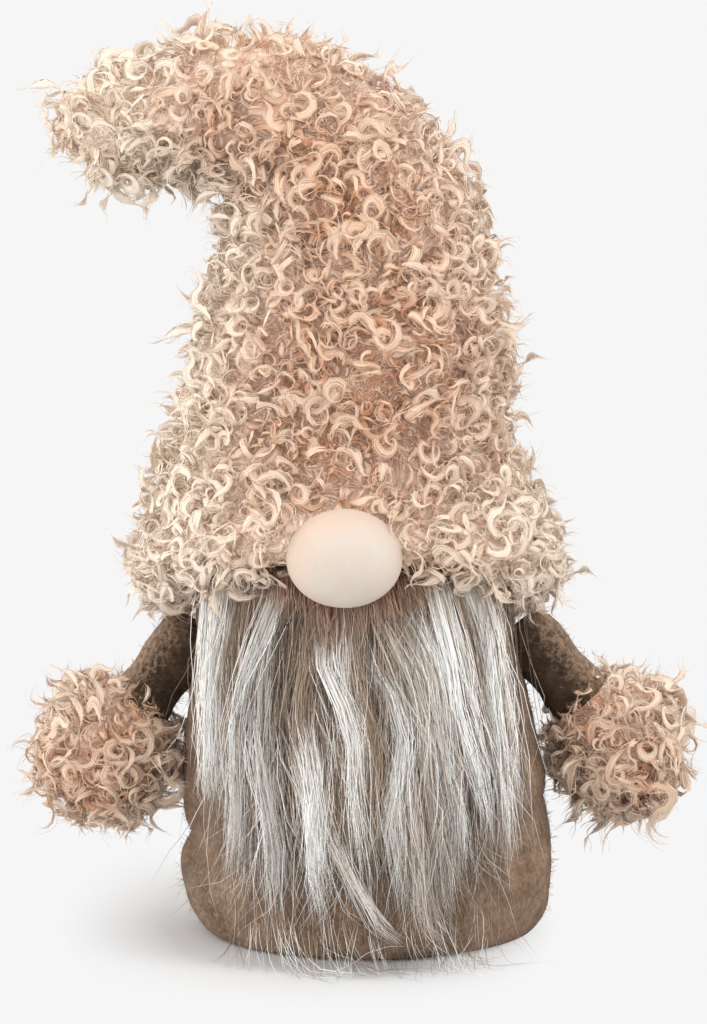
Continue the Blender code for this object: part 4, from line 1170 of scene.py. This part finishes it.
class MakeMittens(bpy.types.Operator):
    """Makes the two mittens of curly fur cloth"""

    bl_idname = "elf.mittens"
    bl_label = "Mittens"

    def execute(self, context):
        curls = context.scene.elf_curls
        ground = ground_material("mitten_ground", FUR_PALE, FUR_ROSY, FUR_DARK)
        tree, material = scatter_tree(), curl_material(curls, "mitten_fur")
        locks = lock_collection("mitten_lock")
        for number, (side, (pivot, direction)) in enumerate(ARMS.items()):
            pivot, direction = Vector(pivot), Vector(direction).normalized()
            rows, size = through(MITTEN_ROWS, 3), MITTEN_SIZE[side]
            rings = [arm_ring(pivot, direction, d, r * size, MITTEN_SIDES, number + 1.5) for d, r in rows]
            poles = [pivot + direction * d for d in MITTEN_POLES]
            # Half the fur on the side towards the body, and shorter fur at the wrist
            fur = [[1.0 if abs(p[0]) > abs(pivot.x) + 4 else 0.5 for p in ring] for ring in rings]
            reach = [[0.55 + 0.45 * ease((d - MITTEN_ROWS[0][0]) / 22)] * MITTEN_SIDES for d, _ in rows]
            # Painted light: the fur is made paler on the sides of the mitten that face neither front nor back
            angles = [math.tau * j / MITTEN_SIDES for j in range(MITTEN_SIDES)]
            pale = [[0.6 * abs(math.cos(angle)) for angle in angles]] * len(rings)
            skin = outwards(loft(f"{side}_mitten_cloth", rings, *poles, {"pale": pale}))
            arm, cover = f"{side}_arm", f"{side}_mitten"
            finished(skin, arm, "curly_fur", cover, f"{side}_mitten_filling", material=ground)
            base = outwards(loft("mitten_base", rings, *poles, {"fur": fur, "reach": reach, "pale": pale}))
            numbers = {**MITTEN_FUR, "Spacing": curls.spacing}
            name = f"{side}_mitten_curls"
            made = planted(base, tree, name, locks, curls.mitten_density, 30 + number, material, numbers)
            finished(made, arm, "curly_fur", cover)
        remove_collection(locks)
        return {"FINISHED"}


def ridge(share, height, size, middle, spread, shift=0.0):
    """How far a level ridge stands out at a height, or a crease in."""
    return size * share * math.exp(-(((height - middle - shift) / spread) ** 2))


def body_relief(angle, height):
    """How far the stuffed felt stands in or out at a place."""
    left, right = max(0.0, -math.sin(angle)) ** 1.5, max(0.0, math.sin(angle)) ** 2
    pinch = ridge(left, height, *PINCH, 3 * math.sin(2 * angle))
    folds = pinch + ridge(left, height, *BULGE) + ridge(right, height, *CREASE)
    place = (95 * math.sin(angle), -95 * math.cos(angle), height * 1.6)
    return lumpy(place, BODY_LUMPS, folds)


def nap_collection():
    """Tiny fibres of felt, each only a few faces."""
    made = new_collection("nap")
    rise = Vector((0, 0, ROOT_DEPTH - 0.1))
    for number, bends in enumerate(NAP_FIBRES):
        line = curl_line(bends)
        short = [(p + rise, h, a) for p, h, a in (line[0], line[len(line) // 2], line[-1])]
        points, faces, uv = [], [], []
        sweep(short, fibre_outline(0, 0, NAP_RADIUS), (0.5,) * 3, points, faces, uv)
        keep_lock(made, number, points, faces, uv)
    return made


class MakeBody(bpy.types.Operator):
    """Makes the stuffed felt body"""

    bl_idname = "elf.body"
    bl_label = "Body"

    def execute(self, context):
        cloth = context.scene.elf_cloth
        rings, nap = [], []
        for width, height in through(BODY_OUTLINE, BODY_STEPS):
            ring, row = [], []
            for j in range(BODY_SIDES):
                angle = math.tau * j / BODY_SIDES
                relief = body_relief(angle, height) * ease(height / RELIEF_BOTTOM)
                out = width + relief * ease((RELIEF_TOP - height) / RELIEF_FADE)
                x, y = lean(height) + out * math.sin(angle), -DEPTH_SHARE * out * math.cos(angle)
                ring.append((x, y, height))
                behind = math.cos(angle) > BEHIND_BEARD and height > BEARD_BOTTOM
                row.append(0.0 if behind or not NAP_BOTTOM <= height <= NAP_TOP else 1.0)
            rings.append(ring)
            nap.append(row)
        poles, felt = ((0, 0, 1.0), (lean(BODY_TOP), 0, BODY_TOP)), felt_material(cloth)
        skin = outwards(loft("body_felt", rings, *poles))
        finished(skin, "torso", "brown_felt", "body_cover", "body_filling", "weight_bag", material=felt)
        fibres, tree = nap_collection(), scatter_tree()
        base = outwards(loft("body_base", rings, *poles, {"fur": nap, "reach": np.ones_like(nap)}))
        made = planted(base, tree, "body_nap", fibres, cloth.nap_density, 2, nap_material(cloth), FELT_NAP)
        finished(made, "torso", "brown_felt", "body_cover")
        remove_collection(fibres)
        return {"FINISHED"}


class MakeSleeves(bpy.types.Operator):
    """Makes the two felt sleeves"""

    bl_idname = "elf.sleeves"
    bl_label = "Sleeves"

    def execute(self, context):
        cloth = context.scene.elf_cloth
        felt = felt_material(cloth, "sleeve_felt", SLEEVE_SHADE, faded=True)
        nap = nap_material(cloth, "sleeve_nap", SLEEVE_NAP_SHADE)
        fibres, tree = nap_collection(), scatter_tree()
        for number, (side, (pivot, direction)) in enumerate(ARMS.items()):
            pivot, direction = Vector(pivot), Vector(direction).normalized()
            rings = []
            for d in np.arange(SLEEVE_TOP, SLEEVE_END, 2.0):
                uneven = 0.99 + 0.03 * math.sin(d / 4.5 + number)
                radius = SLEEVE_RADIUS * uneven * ease((d - SLEEVE_TOP + 9) / 16)
                rings.append(arm_ring(pivot, direction, d, radius, SLEEVE_SIDES, number + 7.5))
            poles = pivot + direction * (SLEEVE_TOP - 1), pivot + direction * SLEEVE_END
            # Painted light: the felt is lighter on its upper side, where light falls
            up = 1 if side == "left" else -1
            upper = [0.5 + 0.5 * math.cos(math.tau * j / SLEEVE_SIDES) * up for j in range(SLEEVE_SIDES)]
            skin = outwards(loft(f"{side}_sleeve_felt", rings, *poles, {"faded": [upper] * len(rings)}))
            arm, cover = f"{side}_arm", f"{side}_sleeve"
            finished(skin, arm, "brown_felt", cover, f"{side}_sleeve_filling", material=felt)
            full = np.ones((len(rings), SLEEVE_SIDES))
            base = outwards(loft("sleeve_base", rings, *poles, {"fur": full, "reach": full}))
            name = f"{side}_sleeve_nap"
            made = planted(base, tree, name, fibres, cloth.nap_density, 4 + number, nap, FELT_NAP)
            finished(made, arm, "brown_felt", cover)
        remove_collection(fibres)
        return {"FINISHED"}


def nose_ring(centre, polar):
    """A ring of points round the nose, at an angle from its front."""
    ring = []
    for j in range(NOSE_SIDES):
        angle = math.tau * j / NOSE_SIDES
        depth = NOSE_FRONT if polar < math.pi / 2 else NOSE_BACK
        sag = 1 + NOSE_SAG * (1 - math.sin(angle)) / 2
        across = math.sin(polar) ** NOSE_FULLNESS
        ring.append(centre + np.array((
            NOSE_HALF_WIDTH * across * math.cos(angle) * sag, -depth * math.cos(polar),
            NOSE_HALF_HEIGHT * across * math.sin(angle))))
    return ring


class MakeNose(bpy.types.Operator):
    """Makes the round jersey nose"""

    bl_idname = "elf.nose"
    bl_label = "Nose"

    def execute(self, context):
        centre = np.array(NOSE_CENTRE, float)
        front, back = centre - np.array((0, NOSE_FRONT, 0)), centre + np.array((0, NOSE_BACK, 0))
        rings = [nose_ring(centre, math.pi * i / NOSE_ROWS) for i in range(1, NOSE_ROWS)]
        skin = outwards(loft("nose_jersey", rings, front, back))
        material = nose_material(context.scene.elf_cloth)
        finished(skin, "torso", "nose_jersey", "nose_cover", "nose_filling", material=material)
        return {"FINISHED"}


def beard_place(x, z, off):
    """A place on the beard's front, this far off the body."""
    width = hang_width(z) + off
    across = x - lean(z)
    depth = DEPTH_SHARE * math.sqrt(max(width * width - across * across, 0.06 * width * width))
    return (x, -depth, z)


def guide_object(name, guides):
    """Guide lines as edges, each with its tone, half width, number of strands and unevenness at its root."""
    points, edges = [], []
    values = {"tone": [], "width": [], "amount": [], "fray": []}
    for shade, half, number, uneven, line in guides:
        first = len(points)
        points += line
        edges += [(i, i + 1) for i in range(first, len(points) - 1)]
        for label, value in zip(values, (shade, half * MM, number, uneven)):
            values[label] += [value] * len(line)
    return placed(name, new_mesh(name, points, edges, [], values))


def lock_guides(settings, pick, locks):
    """Guide lines for the locks that show, each divided into narrower ones."""
    guides = []
    for number, (tone, half, line) in enumerate(locks):
        low = line[0][1] < LOW_START
        if low:
            (x, z), (next_x, _) = line[:2]
            line = ((x + 0.4 * (x - next_x), min(z + LOW_RISE, LOW_TOP)), *line)
        whole = through(line, 3)
        parts = max(2, round(half / 2.0))
        for part in range(parts):
            side = (part + 0.5) / parts * 2 - 1
            line = whole[: len(whole) - pick.choice((0, 0, 1, 2, 3))]
            wave, start = pick.uniform(1.0, 3.0), pick.uniform(0, math.tau)
            off = (12 if tone in ("white", "grey") else 8.5) + pick.uniform(-2.5, 3) + 2 * (1 - side * side)
            gather = 1 - 0.72 * ease(np.linspace(-0.4, 1.15, len(line)))
            places = []
            for k, (x, z) in enumerate(line):
                share = k / (len(line) - 1)
                rise = ease(share / (0.5 if low else 0.25))
                swing = 3.0 * math.sin(3.4 * share + 1.7 * number + part)
                swing += wave * math.sin(8.0 * share + start)
                across = x + side * half * 0.85 * gather[k] + swing * share
                places.append(beard_place(across, max(z, 3.0), LOCK_ROOT + (off - LOCK_ROOT) * rise))
            shade = TONES[tone] + pick.uniform(-0.3 if tone == "white" and part % 2 else -0.1, 0.06)
            amount = int(settings.strands * half / parts)
            guides.append((shade, half / parts * 1.5, amount, 0.45 if low else 0.12, places))
    return guides


def core_rings(locks):
    """Rings of points round the dense middle of each pale lock, with its tone."""
    made = []
    for number, (tone, half, line) in enumerate(locks):
        if TONES[tone] < TONES["grey"]:
            continue
        line = through(line, 3)
        rings = []
        for k, (x, z) in enumerate(line[: int(0.85 * len(line))]):
            share = k / (0.85 * len(line))
            wide = 0.72 * half * ease((share - 0.02) / 0.3) * (1 - 0.9 * ease((share - 0.35) / 0.65))
            off = LOCK_ROOT + 5.5 * ease(share / 0.3)
            swing = 2.2 * math.sin(3.0 * share + number)
            bend = 0.4 * wide * wavy((x, z, 0), 24, number + 0.5)
            ring = []
            for j in range(CORE_SIDES):
                angle = math.tau * j / CORE_SIDES
                across = x + swing * share + bend + wide * math.cos(angle)
                ring.append(beard_place(across, max(z, 3), off + 1.6 * math.sin(angle)))
            rings.append(ring)
        made.append((TONES[tone], rings))
    return made


def under_guides(pick):
    """Guide lines for the darker fur under the locks."""
    guides, left, width = [], -77, 144
    for off, tones in UNDER_LAYERS:
        for k in range(UNDER_COUNT):
            x = left + width * (k + pick.uniform(0, 1)) / UNDER_COUNT
            bottom = pick.uniform(46, 84) - 16 * (1 - ((x + 2) / 80) ** 2)
            sway = pick.uniform(-12, 12)
            places = []
            for share in np.linspace(0, 1, 9):
                z = BEARD_TOP + (max(bottom, 8) - BEARD_TOP) * share
                across = x * (0.93 + 0.07 * ease(share * 2)) + sway * share * share
                places.append(beard_place(across, z, off * ease(share / 0.2) + UNDER_ROOT))
            guides.append((TONES[pick.choice(tones)] + pick.uniform(-0.08, 0.06), 5.0, 20, 0.1, places))
    return guides


def loose_guides(pick):
    """Guide lines for single strands: across the locks, down to the ragged hem, and out over the floor."""
    guides, along = [], np.linspace(0, 1, 7)
    for k in range(LOOSE_COUNT):
        x = -74 + 138 * pick.uniform(0, 1)
        top = pick.uniform(90, 180)
        length, drift = pick.uniform(40, 80), pick.gauss(0, 14)
        places = [beard_place(x + drift * s * s, max(top - length * s, 4), 12 + 4 * math.sin(3 * s + k))
                  for s in along]
        guides.append((pick.uniform(0.1, 0.95), 5.0, 5, 0.2, places))
    for k in range(HEM_COUNT):
        x = -68 + 130 * (k + pick.uniform(0, 1)) / HEM_COUNT
        top, bottom = pick.uniform(50, 100), pick.uniform(4.0, 44)
        drift, out = pick.gauss(0, 15), pick.uniform(8, 20)
        places = [beard_place(x + drift * s * s, top + (bottom - top) * s, 9 + (out - 9) * s * s)
                  for s in along]
        guides.append((pick.choice((0.0, 0.0, 0.1, 0.25, 0.5, 0.9)), 5.0, 4, 0.2, places))
    for _ in range(FLOOR_COUNT):
        x, top, out = -62 + 122 * pick.uniform(0, 1), pick.uniform(16, 34), pick.uniform(20, 33)
        drift = pick.gauss(7, 13)
        places = [beard_place(x + drift * s * s, max(top * (1 - 1.5 * s), 0.7), 8 + (out - 8) * s)
                  for s in along]
        guides.append((pick.choice((0.0, 0.1, 0.4, 0.9)), 4.0, 4, 0.2, places))
    return guides


def short_guides(pick):
    """Guide lines for the short rosy fur under the nose."""
    guides, along = [], np.linspace(0, 1, 6)
    for k in range(SHORT_COUNT):
        x = -46 + 70 * (k + pick.uniform(0, 1)) / SHORT_COUNT
        near = 1 - min(1.0, abs(x - NOSE_CENTRE[0]) / 40)
        length = pick.uniform(10, 18) + 14 * near
        top = SHORT_FUR_TOP + pick.uniform(-4, 6) + 10 * (1 - near)
        drift = pick.uniform(-7, 7) + 0.12 * (x - NOSE_CENTRE[0])
        places = [beard_place(x + drift * s, top - length * s, 8 + 6 * math.sin(2.4 * s)) for s in along]
        guides.append((pick.uniform(0.0, 1.0), 4.0, 22, 0.1, places))
    return guides


class MakeBeard(bpy.types.Operator):
    """Makes the long straight beard and its backing"""

    bl_idname = "elf.beard"
    bl_label = "Beard"

    def execute(self, context):
        beard = context.scene.elf_beard
        pick = random.Random(BEARD_SEED)
        tree, material, rosy = strand_tree(), beard_material(beard), rosy_material()
        hinge = ("torso", "beard_flap", BEARD_HINGE_START, BEARD_HINGE_END)
        half = len(BEARD_LOCKS) // 2
        # Name, guide lines, wander, splay and share of the thickness of each group of strands
        groups = (
            ("beard_under", under_guides(pick), 0.036, 0.008, 1),
            ("beard_locks_left", lock_guides(beard, pick, BEARD_LOCKS[:half]), 0.030, 0.007, 1),
            ("beard_locks_right", lock_guides(beard, pick, BEARD_LOCKS[half:]), 0.030, 0.007, 1),
            ("beard_loose", loose_guides(pick), 0.050, 0.014, 0.7),
            ("beard_short", short_guides(pick), 0.030, 0.006, 1),
        )
        self.make_cores(beard, hinge)
        for number, (name, guides, wander, splay, share) in enumerate(groups):
            made = grown(guide_object("beard_guides", guides), tree, name, {
                "Points": beard.points, "Thickness": beard.thickness * share, "Wander": wander,
                "Splay": splay, "Seed": 40 + number, "Material": rosy if name == "beard_short" else material})
            self.keep_on_floor(made)
            made.data.shade_smooth()
            finished(made, hinge, "beard_fur", "beard_backing" if name == "beard_under" else "beard_pile")
        self.make_backing(hinge)
        return {"FINISHED"}

    def make_cores(self, beard, hinge):
        """The dense middles of the pale locks, which the strands lie on."""
        points, faces, uv, tones = [], [], [], []
        for tone, rings in core_rings(BEARD_LOCKS):
            first, rows, sides = len(points), len(rings), len(rings[0])
            points += [p for ring in rings for p in ring]
            tones += [tone] * (rows * sides)
            tube, corners = tube_faces(first, shares(sides), shares(rows)[:rows])
            faces += tube
            uv += corners
            for row, order in ((0, -1), (rows - 1, 1)):
                faces.append([first + row * sides + j for j in range(sides)][::order])
                uv += [(j / sides, row / rows) for j in range(sides)][::order]
        made = outwards(add_object("beard_cores", points, faces, uv, {"tone": tones}))
        finished(made, hinge, "beard_fur", "beard_pile", material=core_material(beard))

    def keep_on_floor(self, made):
        """Strands that would go through the floor lie on it, and none reaches far in front."""
        for point in made.data.vertices:
            point.co.z = max(point.co.z, STRAND_LOW)
            point.co.y = max(point.co.y, STRAND_FRONT)

    def make_backing(self, hinge):
        """The knitted strip that the beard's fur grows from."""
        columns, rows = BACKING_COLUMNS, BACKING_ROWS
        sheet = []
        for i in range(rows):
            z = BACKING_BOTTOM + (BACKING_TOP - BACKING_BOTTOM) * i / (rows - 1)
            width = hang_width(z) + (1.2 if z < HEADING_HEIGHT else 2.2)
            row = []
            for j in range(columns):
                angle = math.radians(-BACKING_ANGLE + 2 * BACKING_ANGLE * j / (columns - 1))
                x, y = lean(z) + width * math.sin(angle), -DEPTH_SHARE * width * math.cos(angle)
                row.append(Vector((x, y, z)))
            sheet.append(row)
        points = [p for row in sheet for p in row]
        corners = [i * columns + j for i in range(rows - 1) for j in range(columns - 1)]
        faces = [(k, k + 1, k + columns + 1, k + columns) for k in corners]
        uv = [(k % columns / (columns - 1), k // columns / (rows - 1)) for face in faces for k in face]
        made = add_object("beard_ground", points, faces, uv)
        modifier = made.modifiers.new("thickness", "SOLIDIFY")
        modifier.thickness, modifier.offset = BACKING_THICKNESS * MM, 1.0
        mesh = finished_mesh(made)
        made.modifiers.clear()
        made.data = mesh
        ground = ground_material("beard_cloth", BACKING_PALE, BACKING_BROWN, BACKING_DARK)
        finished(made, hinge, "beard_cloth", "beard_heading", "beard_backing", material=ground)


class MakeInside(bpy.types.Operator):
    """Finishes the pieces inside and under the figurine"""

    bl_idname = "elf.inside"
    bl_label = "Inside pieces"

    def execute(self, context):
        finishes = {
            "base_board": plain_material("grey_card", (0.42, 0.40, 0.36), (0.62, 0.59, 0.53), 500.0, 0.9),
            "base_panel": felt_material(context.scene.elf_cloth, "base_felt"),
            "hat_wire": plain_material(
                "bright_wire", (0.50, 0.50, 0.50), (0.66, 0.66, 0.66), 900.0, 0.35, metallic=1.0),
            "thread": plain_material("brown_thread", (0.16, 0.10, 0.06), (0.30, 0.20, 0.13), 1800.0, 0.8),
        }
        for name, node in frame["nodes"].items():
            if node.hide_render:
                continue
            key = next((k for k in finishes if k in name), None)
            if key is None:
                raise RuntimeError(f"node {name} has no finish")
            for slot in node.material_slots:
                slot.material = finishes[key]
        return {"FINISHED"}


# Stage


class MakeStage(bpy.types.Operator):
    """Makes the floor, the lamps, the surroundings and the camera"""

    bl_idname = "elf.stage"
    bl_label = "Stage"

    def execute(self, context):
        stage = context.scene.elf_stage
        self.make_floor(stage)
        self.make_world(stage)
        for name, power, size, place in LAMPS:
            self.add_lamp(name, getattr(stage, power), size, place)
        self.add_camera(context)
        return {"FINISHED"}

    def make_floor(self, stage):
        """A wide floor that fades into the background away from the figurine."""
        angles = [math.tau * k / FLOOR_SIDES for k in range(FLOOR_SIDES)]
        ring = [(FLOOR_RADIUS * math.cos(a), FLOOR_RADIUS * math.sin(a), 0) for a in angles]
        floor = add_object("floor", ring, [tuple(range(FLOOR_SIDES))])
        material, tree, shader = new_material("pale_floor", 0.9, specular=0.05)
        shader.inputs["Base Color"].default_value = (FLOOR_GREY, FLOOR_GREY, FLOOR_GREY, 1)
        glow = add_node(tree, "ShaderNodeEmission", {"Color": (*stage.floor_colour, 1), "Strength": 1.0})
        place = add_node(tree, "ShaderNodeTexCoord").outputs["Object"]
        place = combine(tree, "SUBTRACT", place, FLOOR_MIDDLE)
        away = combine(tree, "LENGTH", combine(tree, "MULTIPLY", place, (1.0, 0.5, 1.0)))
        share = times(tree, seen_directly(tree), ranged(tree, away, *FLOOR_FADE))
        blend = add_node(tree, "ShaderNodeMixShader", {0: share, 1: shader.outputs[0], 2: glow.outputs[0]})
        tree.links.new(blend.outputs[0], tree.nodes["Material Output"].inputs["Surface"])
        floor.data.materials.append(material)

    def make_world(self, stage):
        """Even light from all round, and the floor's colour behind."""
        world = bpy.data.worlds.new("surroundings")
        bpy.context.scene.world = world
        world.use_nodes = True
        tree = world.node_tree
        tree.nodes.clear()
        light = add_node(tree, "ShaderNodeBackground", {"Color": (1, 1, 1, 1), "Strength": stage.ambient})
        back = add_node(tree, "ShaderNodeBackground", {"Color": (*stage.floor_colour, 1), "Strength": 1.0})
        blend = add_node(tree, "ShaderNodeMixShader", {
            0: seen_directly(tree), 1: light.outputs[0], 2: back.outputs[0]})
        add_node(tree, "ShaderNodeOutputWorld", {"Surface": blend.outputs[0]})

    def add_lamp(self, name, power, size, place):
        """A square soft lamp that faces the figurine."""
        data = bpy.data.lights.new(name, "AREA")
        data.energy, data.size = power, size
        lamp = placed(name, data)
        lamp.location = place
        lamp.rotation_euler = (Vector(LAMP_AIM) - Vector(place)).to_track_quat("-Z", "Y").to_euler()

    def add_camera(self, context):
        """The camera, level with the figurine's middle and a little above it."""
        data = bpy.data.cameras.new("camera")
        data.sensor_fit, data.sensor_width, data.lens = "AUTO", CAMERA_SENSOR, CAMERA_LENS
        data.clip_start, data.clip_end = 0.05, 20
        camera = placed("camera", data)
        target, rise = Vector(CAMERA_AIM), math.radians(CAMERA_RISE)
        camera.location = target + Vector((0, -math.cos(rise), math.sin(rise))) * CAMERA_DISTANCE
        camera.rotation_euler = (target - camera.location).to_track_quat("-Z", "Y").to_euler()
        context.scene.camera = camera
        context.scene.view_settings.view_transform = "Standard"


# The panel, and what is registered


MAKERS = (MakeHat, MakeMittens, MakeBody, MakeSleeves, MakeNose, MakeBeard, MakeInside, MakeStage)
SETTINGS = {
    "elf_curls": CurlSettings,
    "elf_cloth": ClothSettings,
    "elf_beard": BeardSettings,
    "elf_stage": StageSettings,
}


class FigurinePanel(bpy.types.Panel):
    """Lists the figurine's settings and the operators that make it."""

    bl_idname = "VIEW3D_PT_figurine"
    bl_label = "Christmas Elf"
    bl_space_type = "VIEW_3D"
    bl_region_type = "UI"
    bl_category = "Figurine"

    def draw(self, context):
        for name, kind in SETTINGS.items():
            box = self.layout.box()
            for label in kind.__annotations__:
                box.prop(getattr(context.scene, name), label)
        for maker in MAKERS:
            self.layout.operator(maker.bl_idname)


def register():
    """Registers the settings, the operators and the panel."""
    for kind in (*SETTINGS.values(), *MAKERS, FigurinePanel):
        bpy.utils.register_class(kind)
    for name, kind in SETTINGS.items():
        setattr(bpy.types.Scene, name, PointerProperty(type=kind))


def unregister():
    """Removes the panel, the operators and the settings."""
    for name in SETTINGS:
        delattr(bpy.types.Scene, name)
    for kind in reversed((*SETTINGS.values(), *MAKERS, FigurinePanel)):
        bpy.utils.unregister_class(kind)


def main():
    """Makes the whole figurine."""
    register()
    for maker in MAKERS:
        group, name = maker.bl_idname.split(".")
        getattr(getattr(bpy.ops, group), name)()
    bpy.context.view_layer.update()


if __name__ == "__main__":
    main()
